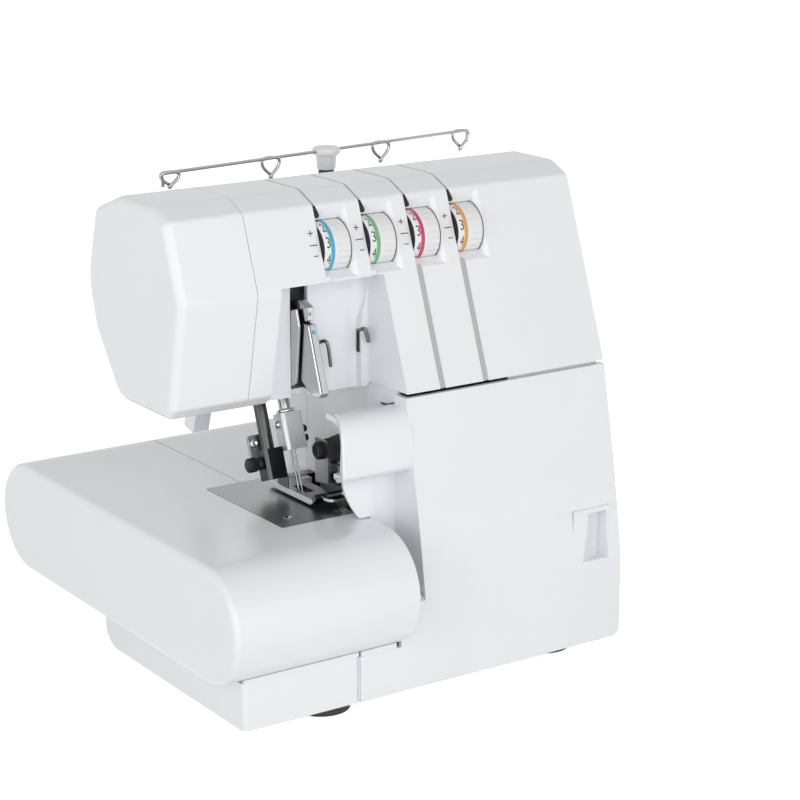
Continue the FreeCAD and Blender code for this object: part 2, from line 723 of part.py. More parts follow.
def make_base_tray():
    """Tray under the machine, narrower at the left end, with the cover's hinge eyes."""
    low_rim = S.table_bottom - S.slide_gap
    tray = Piece("base_tray")
    left = [
        (0, 0),
        (S.base_front_seam, 0),
        (S.base_front_seam, S.base_shelf),
        (S.base_step, S.base_shelf),
        (S.base_step, S.base_left_depth),
        (0, S.base_left_depth),
    ]
    tray.prism("z", left, 0, low_rim)
    tray.block(
        (S.base_step, S.base_right), (S.base_shelf, S.base_back), (as_size(0), S.table_bottom)
    )
    tray.round("x", [(S.base_left_depth, 0)], S.base_heel)
    tray.round("z", [(0, 0), (S.base_front_seam, 0)], S.wall)
    hollow_back = S.base_left_depth - S.base_heel
    inner = [
        (S.wall, S.wall),
        (S.base_front_seam - S.wall, S.wall),
        (S.base_front_seam - S.wall, S.base_shelf + S.wall),
        (S.base_right - S.wall, S.base_shelf + S.wall),
        (S.base_right - S.wall, S.base_back - S.wall),
        (S.base_step + S.wall, S.base_back - S.wall),
        (S.base_step + S.wall, hollow_back),
        (S.wall, hollow_back),
    ]
    tray.prism("z", inner, S.wall, S.table_bottom, cut=True)
    for eye in (S.base_step + S.base_shelf, S.base_right - S.base_shelf):
        web = [
            (S.hinge_y, S.hinge_z - S.hinge_eye),
            (S.base_shelf + S.wall, S.hinge_z - S.hinge_eye),
            (S.base_shelf + S.wall, S.hinge_z + S.hinge_eye),
            (S.hinge_y, S.hinge_z + S.hinge_eye),
        ]
        tray.prism("x", web, eye, eye + S.hinge_width)
        tray.disc("x", (S.hinge_y, S.hinge_z), S.hinge_eye, eye, eye + S.hinge_width)
        tray.disc(
            "x", (S.hinge_y, S.hinge_z), S.hinge_rod + S.fit, eye, eye + S.hinge_width, cut=True
        )


FEET = (
    (S.foot_left_x, S.foot_left_y),
    (S.foot_right_x, S.foot_right_y),
    (S.foot_radius + S.base_heel, S.base_left_depth - S.foot_radius - S.base_heel),
    (S.foot_right_x, S.base_back - S.foot_radius - S.wall),
)


def make_feet():
    """Four tapered rubber feet."""
    discs = [
        rod(
            f"foot_{n}", "z", (x, y, -S.foot_height),
            S.foot_height, S.foot_radius - S.foot_taper, S.foot_radius,
        )
        for n, (x, y) in enumerate(FEET)
    ]
    finish("rubber_feet", fuse("rubber_feet", *discs))


def make_bed_housing():
    """Rear bed with the rolled back edge and the motor's cradle, open to the column in front."""
    bed = Piece("bed_housing")
    left = S.table_seam + S.seam
    roll = (S.table_back - ROLL, ROLL_MID)
    outline = [
        (S.split, S.table_bottom),
        (roll[0], S.table_bottom),
        (roll[0], S.table_top),
        (S.split, S.table_top),
    ]
    bed.prism("x", outline, left, S.cover_right, arcs={1: roll})
    bed.shell([("y", S.split)], S.wall)
    well = (S.column_left + S.wall * 2, S.cover_right - S.wall * 2)
    bed.block(well, (S.split - 1, S.back_y - S.wall), (S.table_top - S.wall * 2, S.table_top), cut=True)
    reach = S.motor_radius - S.wall
    motor_right = S.motor_left + S.motor_length
    bed.block(
        (S.motor_left + S.frame_wall, motor_right - S.frame_wall),
        (S.motor_y - reach, S.motor_y + reach),
        (S.table_bottom + S.wall, S.motor_z - S.frame_wall),
    )
    bed.disc("x", (S.motor_y, S.motor_z), S.motor_radius, S.motor_left, motor_right, cut=True)


def make_free_arm():
    """Hollow arm that carries the needle plate and the feed, inside the table."""
    top = S.table_top - S.plate_thick
    back = S.split - S.seam
    arm = Piece("free_arm")
    outline = [
        (S.arm_left, S.arm_bottom),
        (S.base_step, S.arm_bottom),
        (S.base_step, S.table_bottom),
        (S.arm_right, S.table_bottom),
        (S.arm_right, top),
        (S.arm_left, top),
    ]
    arm.prism("y", outline, S.arm_front, back)
    arm.round("z", [(S.arm_left, S.arm_front), (S.arm_left, back)], S.arm_corner)
    arm.shell([("x", S.arm_right)], S.wall)
    rim = S.wall * 2
    arm.block(
        (S.plate_left + rim, S.arm_right),
        (S.arm_front + rim, back - rim),
        (top - rim, top),
        cut=True,
    )
    shelf = (FEED_BAR_LOW - S.slide_gap - S.wall, FEED_BAR_LOW - S.slide_gap)
    across = (S.arm_left + S.wall, S.feed_left + S.feed_width * 2)
    arm.block(across, (S.arm_front + S.wall, S.shelf_front + S.wall), shelf)
    arm.block(across, (S.shelf_back - S.wall, back - S.wall), shelf)


FEED_TOP = S.table_top - S.slide_gap
FEED_BAR_TOP = S.table_top - S.plate_thick - S.slide_gap * 3
FEED_BAR_LOW = FEED_BAR_TOP - S.feed_width


def make_needle_plate():
    """Steel plate with the needle slot and the two feed slots."""
    plate = Piece("needle_plate")
    back = S.split - S.seam
    zs = (S.table_top - S.plate_thick, S.table_top)
    plate.block((S.plate_left, S.plate_right), (S.plate_front, back), zs)
    plate.round("z", [(S.plate_left, S.plate_front), (S.plate_left, back)], S.wall)
    room = S.slide_gap * 2
    sides = (S.feed_left - room, S.feed_left + S.feed_width + room)
    run = S.feed_travel + room
    plate.block(sides, (S.feed_front - run, S.feed_back + run), zs, cut=True)
    gap = S.needle_gap + S.needle_radius * 2
    plate.block(
        (S.needle_x - gap, S.plate_right),
        (S.needle_y - S.stroke_down, S.needle_y + S.needle_gap),
        zs,
        cut=True,
    )


def make_extension_table():
    """Hollow table with rolled edges that slips over the free arm."""
    table = Piece("extension_table")
    front = S.table_front + ROLL
    back = S.table_back - ROLL
    outline = [
        (front, S.table_bottom),
        (back, S.table_bottom),
        (back, S.table_top),
        (front, S.table_top),
    ]
    centres = {1: (back, ROLL_MID), 3: (front, ROLL_MID)}
    table.prism("x", outline, S.table_left, S.table_nose, arcs=centres)
    left = S.table_left.value
    table.fillet(lambda edge: edge.BoundBox.XMax < left + TOUCH, S.table_edge)
    table.shell([("x", S.table_nose)], S.wall)
    gap = S.seam
    far = S.table_back + S.wall
    table.block(
        (S.plate_left - gap, S.table_nose),
        (S.plate_front - gap, S.split + gap),
        (ROLL_MID, S.table_top),
        cut=True,
    )
    table.block(
        (S.table_seam - gap, S.table_nose),
        (S.plate_front - gap, far),
        (S.table_bottom, S.table_top),
        cut=True,
    )


def cover_face(offset):
    """Outline of the front cover's face, from the bend to the top, moved inwards."""
    return [
        (0 + as_size(offset), S.cover_bend),
        (S.cover_mid_y + offset, S.cover_mid_z),
        (S.cover_top_y + offset, S.cover_top),
    ]


def make_front_cover():
    """Looper cover: leaning face, thread pocket, knife hood, finger grip and hinge eyes."""
    cover = Piece("front_cover")
    outer = cover_face(0)
    back = [(S.cover_side, S.cover_top), (S.cover_side, 0)]
    cover.prism("x", [(0, 0), *outer, *back], S.cover_left, S.cover_right)
    heel = S.cover_right - S.cover_heel
    corner = [(heel, 0), (S.cover_right, S.cover_heel), (S.cover_right, 0)]
    cover.prism("y", corner, 0, S.cover_side, arcs={0: (heel, S.cover_heel)}, cut=True)
    inside = [(S.wall, 0), *cover_face(S.wall), *back]
    cover.prism("x", inside, S.cover_left, S.cover_right - S.wall, cut=True)
    strip_left = S.base_front_seam + S.seam * 2
    low = [(0, 0), (S.wall, 0), (S.wall, S.cover_strip), (0, S.cover_strip)]
    cover.prism("x", low, strip_left, S.pocket_left)
    step = [(0, 0), (S.wall, 0), (S.wall, S.cover_bend), (0, S.cover_bend)]
    cover.prism("x", step, S.pocket_left, S.cover_left)
    pocket = [
        (0, S.cover_bend - S.wall),
        (S.pocket_depth / 2, S.cover_bend + S.wall),
        (S.pocket_depth + S.wall, S.cover_mid_z - S.cover_side),
        (S.pocket_depth + S.wall, S.nose_bottom),
        (S.pocket_depth, S.nose_bottom),
        (S.pocket_depth, S.cover_mid_z - S.cover_side),
        (S.pocket_depth / 2 - S.wall, S.cover_bend + S.wall * 2),
        (0, S.cover_bend),
    ]
    wing = S.cover_left + S.wall
    cover.prism("x", pocket, S.pocket_left, wing)
    cover.round("x", [pocket[1], pocket[6]], S.cover_side)
    cover.round("x", [pocket[2], pocket[5]], S.cover_side)
    web = [
        (0, S.cover_bend),
        *outer[1:],
        (S.pocket_depth, S.cover_top),
        (S.pocket_depth, S.cover_mid_z - S.cover_side),
    ]
    cover.prism("x", web, S.cover_left, wing)
    hood = [
        (S.nose_back, S.nose_top),
        (S.nose_front, S.nose_top),
        (S.nose_front, S.nose_bottom),
        (S.nose_back - S.nose_chin, S.nose_bottom),
        (S.nose_back - S.nose_chin, S.nose_bottom + S.wall),
        (S.nose_front + S.wall, S.nose_bottom + S.wall),
        (S.nose_front + S.wall, S.nose_top - S.wall),
        (S.nose_back, S.nose_top - S.wall),
    ]
    cover.prism("x", hood, S.nose_left, wing)
    cover.round("x", [hood[1]], S.nose_round)
    cover.round("x", [hood[6]], S.nose_round - S.wall)
    cover.round("x", [hood[2]], S.nose_chin)
    cover.round("x", [hood[5]], S.nose_chin - S.wall)
    margin = S.wall
    cup = [
        (S.grip_left, 0 + S.wall),
        (S.grip_right + margin, 0 + S.wall),
        (S.grip_right + margin, S.grip_depth + S.wall * 2),
        (S.grip_right, S.grip_depth + S.wall * 2),
    ]
    cover.prism("z", cup, S.grip_low - margin, S.grip_high + margin)
    grip = [(S.grip_left, -S.wall), (S.grip_right, -S.wall), (S.grip_right, S.grip_depth)]
    cover.prism("z", grip, S.grip_low, S.grip_high, cut=True)
    for eye in hinge_eyes():
        arm = [
            (S.wall, S.hinge_z - S.hinge_eye),
            (S.hinge_y, S.hinge_z - S.hinge_eye),
            (S.hinge_y, S.hinge_z + S.hinge_eye),
            (S.wall, S.hinge_z + S.hinge_eye),
        ]
        cover.prism("x", arm, eye, eye + S.hinge_width)
        cover.disc("x", (S.hinge_y, S.hinge_z), S.hinge_eye, eye, eye + S.hinge_width)
        bore = S.hinge_rod + S.fit
        cover.disc("x", (S.hinge_y, S.hinge_z), bore, eye, eye + S.hinge_width, cut=True)


def hinge_eyes():
    """Left sides of the front cover's two hinge eyes, inside those of the base."""
    first = S.base_step + S.base_shelf + S.hinge_width
    last = S.base_right - S.base_shelf
    gap = S.hinge_slide + S.wall
    return first + S.wall, last - S.hinge_width - gap


def make_hinge_rod():
    """Rod that the front cover swings on, sliding in the base's eyes."""
    start = S.base_step + S.base_shelf - S.hinge_slide - S.wall
    end = S.base_right - S.base_shelf + S.hinge_width + S.wall
    finish(
        "cover_hinge_rod",
        rod("hinge_rod", "x", (start, S.hinge_y, S.hinge_z), end - start, S.hinge_rod),
    )


def panel_band(z_low, z_high, outside, inside):
    """Outline of a band along the dial panel, from outside its face to inside it."""
    out_y = outside * cosine(S.lean)
    out_z = outside * sine(S.lean)
    in_y = inside * cosine(S.lean)
    in_z = inside * sine(S.lean)
    return [
        (panel_y(z_low) - out_y, z_low + out_z),
        (panel_y(z_low) + in_y, z_low - in_z),
        (panel_y(z_high) + in_y, z_high - in_z),
        (panel_y(z_high) - out_y, z_high + out_z),
    ]


def panel_edges(x):
    """Rule that picks the straight edges at one x that run up the dial panel's face."""
    x = x.value

    def choose(edge):
        ends = [vertex.Point for vertex in edge.Vertexes]
        return len(ends) == 2 and all(
            abs(end.x - x) < TOUCH and abs(end.y - panel_y(end.z).value) < TOUCH for end in ends
        )

    return choose


def round_head_front(piece):
    """Soften the corners of the head's front half."""
    piece.round("x", CREST, S.crest_round)
    piece.round("x", [BROW], S.brow_round)
    piece.round("x", [BELLY], S.belly_round)
    piece.round("x", [CHIN, KEEL[1]], S.brow_round)
    piece.round("x", [KEEL[0]], S.crest_round)


def round_head_back(piece):
    """Soften the corners of the head's rear half."""
    piece.round("x", [NAPE, *BACK], S.crest_round)
    piece.round("x", [CROWN], S.belly_round)


def make_upper_front_cover():
    """Front half of the upper housing: head, dial panel, needle recess and column side."""
    cover = Piece("upper_front_cover")
    left = S.head_seam + S.seam
    head = [SPLIT_LOW, SPLIT_TOP, CREST[1], CREST[0], BROW, BELLY, CHIN, KEEL[1], KEEL[0]]
    cover.prism("x", head, left, S.cover_right)
    round_head_front(cover)
    foot = (panel_y(S.upper_bottom), S.upper_bottom)
    inside = (S.split, S.dial_z)
    apron = [foot, (S.split, S.upper_bottom), inside, (panel_y(S.dial_z), S.dial_z)]
    cover.prism("x", apron, S.recess_right, S.cover_right)
    column = [(S.split, S.upper_bottom), SPLIT_TOP, CREST[1], CREST[0], BROW, foot]
    under = [
        (0, S.head_bottom - S.wall),
        (S.split, S.head_bottom - S.wall),
        (S.split, S.upper_bottom),
        (0, S.upper_bottom),
    ]
    cover.prism("x", under, S.column_left + S.wall, S.cover_right, cut=True)
    recess = [
        (0, S.head_bottom - S.wall),
        (S.recess_floor, S.head_bottom - S.wall),
        (S.recess_floor, S.lip_z),
        (0, S.lip_z),
    ]
    cover.prism("x", recess, S.recess_left, S.recess_right, cut=True)
    cover.round("z", [(S.recess_right, S.recess_floor)], S.recess_round)
    cut_back = (S.recess_floor, S.head_bottom)
    lip = [(panel_y(S.lip_z), S.lip_z), (S.recess_floor, S.lip_z), cut_back]
    waist = [SPLIT_LOW, SPLIT_TOP, CREST[1], CREST[0], BROW, *lip, KEEL[0]]
    spans = (
        (head, (0,), left - S.wall, S.recess_left - S.wall),
        (waist, (0,), S.recess_left - S.wall, S.recess_right + S.wall),
        (column, (0, 5), S.recess_right + S.wall, S.cover_right - S.wall),
    )
    for outline, open_sides, start, end in spans:
        cover.prism("x", inset(outline, S.wall, open_sides), start, end, cut=True)
    skirt_top = S.head_bottom + S.wall
    cover.block(
        (S.column_left, S.column_left + S.wall),
        (S.column_front, S.split),
        (S.table_top + S.seam, skirt_top),
    )
    rim = S.pocket_half + S.pocket_slope
    backing = [
        on_panel(-rim, 0),
        on_panel(-rim, S.panel_back),
        on_panel(rim, S.panel_back),
        on_panel(rim, 0),
    ]
    cover.prism("x", backing, SLOTS[0] - S.wall, SLOTS[3] + S.pocket_width + S.wall * 2)
    for slot in SLOTS:
        pocket = [
            on_panel(-rim, 0),
            on_panel(-S.pocket_half, S.pocket_sink),
            on_panel(S.pocket_half, S.pocket_sink),
            on_panel(rim, 0),
        ]
        cover.prism("x", pocket, slot, slot + S.pocket_width, cut=True)
        cover.fillet(panel_edges(slot + S.pocket_width), S.pocket_edge)
        cover.disc("x", DIAL_AXIS, S.dial_radius + S.seam, slot, slot + S.pocket_width, cut=True)
        over = [
            (S.split - S.wall * 2, S.dial_z),
            (S.split - S.wall * 2, S.head_top + S.wall),
            (0, S.head_top + S.wall),
            (0, S.dial_z),
        ]
        cover.prism("x", over, slot, slot + S.slot_width, cut=True)
    for slot in SLOTS:
        groove = panel_band(S.upper_bottom - S.wall, S.dial_z, S.wall, S.groove_depth)
        cover.prism("x", groove, slot, slot + S.groove_width, cut=True)
    cover.prism("x", bar_room(), *bar_span(), cut=True)
    cut_lever_slot(cover)
    slot_span = (S.takeup_left - S.wall, S.takeup_left + S.takeup_thick + S.wall)
    cover.block(
        slot_span,
        (S.recess_floor - S.wall, S.recess_floor + S.wall * 2),
        (S.head_bottom - S.wall, S.lip_z - S.wall),
        cut=True,
    )


def bar_span():
    """Sides of the opening for the needle bar and the presser bar."""
    margin = S.presser_radius + S.wall
    return S.needle_x + S.presser_x - margin, S.needle_x + margin


def bar_room():
    """Outline of the opening in the head's underside for the two leaning bars."""
    margin = S.presser_radius + S.wall
    low = S.head_bottom - S.wall
    high = S.nape_z
    at_low = leaned(0, 0, (low - S.table_top) / cosine(S.lean))
    at_high = leaned(0, 0, (high - S.table_top) / cosine(S.lean))
    return [
        (at_low[1] - margin, low),
        (at_low[1] + margin, low),
        (at_high[1] + margin, high),
        (at_high[1] - margin, high),
    ]


def make_rear_cover():
    """Rear half of the upper housing, standing on the bed."""
    cover = Piece("rear_cover")
    left = S.head_seam + S.seam
    face = S.split + S.seam
    top = (face, between(CREST[1], CROWN, face))
    low = (face, between(KEEL[0], NAPE, face))
    head = [low, NAPE, BACK[1], BACK[0], CROWN, top]
    cover.prism("x", head, left, S.cover_right)
    column = [(face, S.table_top), (S.back_y, S.table_top), BACK[0], CROWN, top]
    cover.prism("x", column, S.column_left, S.cover_right)
    round_head_back(cover)
    spans = (
        (head, (5,), left - S.wall, S.column_left + S.wall),
        (column, (0, 4), S.column_left + S.wall, S.cover_right - S.wall),
    )
    for outline, open_sides, start, end in spans:
        cover.prism("x", inset(outline, S.wall, open_sides), start, end, cut=True)
    cut_lever_slot(cover)
    cover.prism("x", bar_room(), *bar_span(), cut=True)


def cut_lever_slot(cover):
    """Slot in the head's underside for the lifter lever's swing."""
    right = HANGER[0]
    front = S.split - S.wall
    room = [
        (front, S.head_bottom),
        (S.nape_y + S.wall, S.head_bottom),
        (S.nape_y + S.wall, S.nape_z + S.wall),
        (front, S.nape_z + S.wall),
    ]
    cover.prism("x", room, right - S.lever_width - S.hanger_gap * 2, right, cut=True)


def make_head_end_cover():
    """End cover that closes the head on the left."""
    cover = Piece("head_end_cover")
    outline = [
        KEEL[1], KEEL[0], NAPE, BACK[1], BACK[0], CROWN, CREST[1], CREST[0], BROW, BELLY, CHIN,
    ]
    cover.prism("x", outline, S.head_left, S.head_seam)
    round_head_front(cover)
    round_head_back(cover)
    left = S.head_left.value
    cover.fillet(lambda edge: edge.BoundBox.XMax < left + TOUCH, S.end_round)
    cover.prism(
        "x", inset(outline, S.wall), S.head_left + S.wall, S.head_seam + S.wall, cut=True
    )


def make_side_cover():
    """Flat cover on the right side, with openings for shaft, switch and inlet."""
    cover = Piece("side_cover")
    xs = (S.cover_right - S.wall, S.cover_right)
    front = S.cover_side + S.wall
    cover.block(xs, (front, S.split - S.seam), (S.table_bottom + S.seam, S.upper_bottom - S.seam))
    room = S.shaft_radius + S.wall
    cover.disc("x", (S.shaft_y, S.shaft_z), room, *xs, cut=True)
    for y in (S.dial_row_front, S.dial_row_back):
        cover.disc("x", (y, S.dial_row_z), S.knob_stem + S.fit, *xs, cut=True)
    half = S.switch_width / 2 + S.seam * 2
    tall = S.switch_half + S.wall
    back = S.cover_right - S.switch_depth
    cover.block(
        (back, xs[0]),
        (S.switch_y - half - S.wall, S.switch_y + half + S.wall),
        (S.switch_z - tall - S.wall, S.switch_z + tall + S.wall),
    )
    cover.block(
        (back + S.wall, S.cover_right),
        (S.switch_y - half, S.switch_y + half),
        (S.switch_z - tall, S.switch_z + tall),
        cut=True,
    )
    cover.disc(
        "y",
        (S.cover_right - S.switch_pin_in, S.switch_z),
        S.switch_pin + S.fit,
        S.switch_y - half - S.wall,
        S.switch_y + half + S.wall,
        cut=True,
    )
    half = S.inlet_width / 2
    tall = S.inlet_height / 2
    cover.block(
        xs, (S.inlet_y - half, S.inlet_y + half), (S.switch_z - tall, S.switch_z + tall), cut=True
    )


def make_main_frame():
    """Cast frame: sole, bearing walls, posts, arm beam, lugs and the block of the bars."""
    right = S.frame_second + S.frame_wall
    sole = (S.wall, S.wall * 3)
    depth = (S.beam_front, S.frame_back)
    rise = (S.wall, S.frame_top)
    lug_front = S.takeup_y - S.takeup_hub
    lug_low = S.takeup_z - S.takeup_hub
    solids = [
        box("frame_sole", (S.frame_left, right), (S.frame_front, S.frame_back), sole),
        box("frame_near", (S.frame_left, S.frame_left + S.frame_wall), (S.frame_nose, S.frame_back), rise),
        box("frame_far", (S.frame_second, right), (S.frame_front, S.frame_back), rise),
        box("frame_tie", (S.frame_left, right), depth, (S.frame_top - S.frame_wall, S.frame_top)),
        box("frame_post", (S.frame_left, S.frame_left + S.frame_wall), depth, (S.wall, S.beam_high)),
        box("frame_stay", (S.frame_second, right), depth, (S.wall, S.beam_high)),
        box("frame_beam", (S.beam_left, right), depth, (S.beam_low, S.beam_high)),
        box("frame_hanger", HANGER, HANGER_DEPTH, (S.lever_z - S.lever_hub, S.beam_high)),
        leaned_box("frame_block", BLOCK_WIDTH, (-S.block_half, S.block_half), BUSH_SPAN),
    ]
    for n, left in enumerate(TAKEUP_LUGS):
        span = (left, left + S.frame_wall)
        solids.append(box(f"frame_lug_{n}", span, (lug_front, S.frame_back), (lug_low, S.beam_high)))
    bush = S.fit + S.bush_wall
    bores = [
        rod("bore_shaft", "x", (S.frame_left, S.shaft_y, S.shaft_z),
            right - S.frame_left, S.shaft_radius + bush),
        rod("bore_knife", "x", (S.frame_left, S.knife_pivot_y, S.knife_pivot_z),
            S.frame_wall, S.knife_shaft + S.fit),
        rod("bore_takeup", "x", (TAKEUP_LUGS[0], S.takeup_y, S.takeup_z),
            TAKEUP_LUGS[1] - TAKEUP_LUGS[0] + S.frame_wall, S.takeup_pin),
        rod("bore_lever", "x", (HANGER[0], S.lever_y, S.lever_z), S.frame_wall, S.lever_pin),
        leaned_rod("bore_needle", 0, 0, *BUSH_SPAN, S.bar_radius + bush),
        leaned_rod("bore_presser", S.presser_x, 0, *BUSH_SPAN, S.presser_radius + bush),
    ]
    finish("main_frame", cut("main_frame", fuse("frame_solids", *solids), *bores))


BUSH_SPAN = (S.bush_low, S.bush_low + S.bush_length)
HANGER_RIGHT = S.needle_x + S.presser_x - S.presser_radius - S.hanger_gap
HANGER = (HANGER_RIGHT - S.frame_wall, HANGER_RIGHT)
HANGER_DEPTH = (S.beam_front, S.lever_y + S.lever_hub - S.wall)
BLOCK_WIDTH = (HANGER[0] - S.needle_x, S.bar_radius + S.frame_wall)
TAKEUP_LUGS = (S.beam_left, S.takeup_left + S.takeup_thick + S.wall)


def make_bushes():
    """Bearing bushes of the main shaft and of the two leaning bars."""
    rings = []
    for n, left in enumerate((S.frame_left, S.frame_second)):
        start = (left, S.shaft_y, S.shaft_z)
        outer = rod(f"shaft_bush_{n}", "x", start, S.frame_wall, S.shaft_radius + S.fit + S.bush_wall)
        inner = rod(f"shaft_bush_bore_{n}", "x", start, S.frame_wall, S.shaft_radius + S.fit)
        rings.append(cut(f"shaft_bush_ring_{n}", outer, inner))
    for n, (x, radius) in enumerate(((as_size(0), S.bar_radius), (S.presser_x, S.presser_radius))):
        outer = leaned_rod(f"bar_bush_{n}", x, 0, *BUSH_SPAN, radius + S.fit + S.bush_wall)
        inner = leaned_rod(f"bar_bush_bore_{n}", x, 0, *BUSH_SPAN, radius + S.fit)
        rings.append(cut(f"bar_bush_ring_{n}", outer, inner))
    finish("bearing_bushes", fuse("bearing_bushes", *rings))


def make_tension_units():
    """Four thread tension units: a common bracket, studs, discs and turning dials."""
    axis_y, axis_z = DIAL_AXIS
    ear = S.ear_half
    left = SLOTS[0] - S.ear_gap - S.wall
    right = SLOTS[3] + S.pocket_width
    plate = box(
        "bracket_plate", (left, right), (S.bracket_y, S.bracket_y + S.wall), (axis_z - ear, axis_z + ear)
    )
    pieces = [plate]
    studs = []
    discs = []
    for n, slot in enumerate(SLOTS):
        ear_left = slot - S.ear_gap - S.wall
        blank = box(
            f"bracket_ear_{n}",
            (ear_left, ear_left + S.wall),
            (axis_y - ear, S.bracket_y),
            (axis_z - ear, axis_z + ear),
        )
        hole = rod(f"bracket_hole_{n}", "x", (ear_left, axis_y, axis_z), S.wall, S.stud_radius)
        pieces.append(cut(f"bracket_eared_{n}", blank, hole))
        length = S.wall + S.ear_gap + S.dial_inset + S.dial_width + S.wall
        studs.append(rod(f"stud_{n}", "x", (ear_left, axis_y, axis_z), length, S.stud_radius))
        first_disc = slot + S.seam
        for side, left_face in enumerate((first_disc, first_disc + S.disc_thick + S.seam)):
            blank = rod(
                f"disc_{n}_{side}", "x", (left_face, axis_y, axis_z), S.disc_thick, S.disc_radius
            )
            hole = rod(
                f"disc_hole_{n}_{side}", "x", (left_face, axis_y, axis_z),
                S.disc_thick, S.stud_radius + S.fit,
            )
            discs.append(cut(f"disc_ring_{n}_{side}", blank, hole))
        make_dial(n, slot)
    for n, slot in enumerate((SLOTS[1], SLOTS[3])):
        foot = (slot + S.dial_inset, slot + S.dial_width)
        deep = (S.bracket_y, S.beam_front)
        tall = (axis_z - ear, S.beam_high)
        pieces.append(box(f"bracket_foot_{n}", foot, deep, tall))
    finish("tension_bracket", fuse("tension_bracket", *pieces))
    finish("tension_studs", fuse("tension_studs", *studs))
    finish("tension_discs", fuse("tension_discs", *discs))


def make_dial(number, slot):
    """Tension dial: a drum with a smooth scale band and a fluted grip band."""
    dial = Piece(f"tension_dial_{number + 1}", at=(slot + S.dial_inset, *DIAL_AXIS))
    middle = (0, 0)
    dial.disc("x", middle, S.dial_radius, 0, S.dial_width)
    rim = S.dial_radius.value
    dial.fillet(
        lambda edge: edge.Curve.TypeId == "Part::GeomCircle" and edge.Curve.Radius > rim - TOUCH, S.dial_edge
    )
    dial.disc("x", middle, S.stud_radius + S.fit, 0, S.dial_width, cut=True)
    dial.disc("x", middle, S.disc_radius + S.seam, 0, S.disc_room, cut=True)
    grip = (S.dial_width / 2, S.dial_width)
    half = S.dial_flute
    notch = [
        (S.dial_radius + half, -half),
        (S.dial_radius + half, half),
        (S.dial_radius - half, half),
        (S.dial_radius - half, -half),
    ]
    dial.prism("x", notch, *grip, cut=True)
    dial.repeat_about("x", S.flute_count)


def make_needle_group():
    """Needle bar with its clamp, two needles and their set screws."""
    top = S.needle_reach + S.clamp_height
    finish(
        "needle_bar", leaned_rod("needle_bar_rod", 0, 0, top - S.frame_wall, S.bar_top, S.bar_radius)
    )
    half = S.clamp_width / 2
    depth = (S.bush_wall * 2 - S.clamp_depth, S.bush_wall * 2)
    clamp = Piece("needle_clamp", at=NEEDLE_POINT, leans=True)
    clamp.block((-half, half), depth, (S.needle_reach, top))
    clamp.round("z", [(-half, depth[0]), (half, depth[0])], S.wall)
    clamp.round("z", [(-half, depth[1]), (half, depth[1])], S.bush_wall)
    clamp.disc("z", (0, 0), S.bar_radius, top - S.frame_wall, top, cut=True)
    needles = [
        leaned_rod(f"needle_{n}", S.needle_gap * side, 0, 0, S.needle_reach, S.needle_radius)
        for n, side in enumerate((-0.5, 0.5))
    ]
    finish("needles", fuse("needles", *needles))
    screws = []
    for n in range(2):
        point = leaned(half, -S.needle_gap, S.needle_reach + S.clamp_height * (n + 1) / 4)
        screws.append(rod(f"set_screw_{n}", "x", point, S.wall, S.screw_radius))
    finish("needle_set_screws", fuse("needle_set_screws", *screws))


def make_take_up():
    """Take-up lever in the recess, on a pin in the frame."""
    lever = Piece("take_up_lever")
    right = S.takeup_left + S.takeup_thick
    axis = (S.takeup_y, S.takeup_z)
    neck = S.takeup_hub - S.wall
    notch = S.takeup_step - S.wall / 2
    outline = [
        (S.takeup_y, S.takeup_z + neck),
        (S.takeup_front + neck, S.takeup_top),
        (S.takeup_front, S.takeup_top),
        (S.takeup_front, S.takeup_step),
        (S.takeup_front + S.wall, S.takeup_step),
        (S.takeup_front + S.wall, notch),
        (S.takeup_front - S.wall, notch),
        (S.takeup_tip, S.takeup_low + S.wall),
        (S.takeup_front, S.takeup_low),
        (S.recess_floor, S.takeup_low + neck),
        (S.takeup_y, S.takeup_z - neck),
    ]
    lever.prism("x", outline, S.takeup_left, right)
    lever.disc("x", axis, S.takeup_hub, S.takeup_left, right)
    lever.disc("x", axis, S.takeup_pin + S.fit, S.takeup_left, right, cut=True)


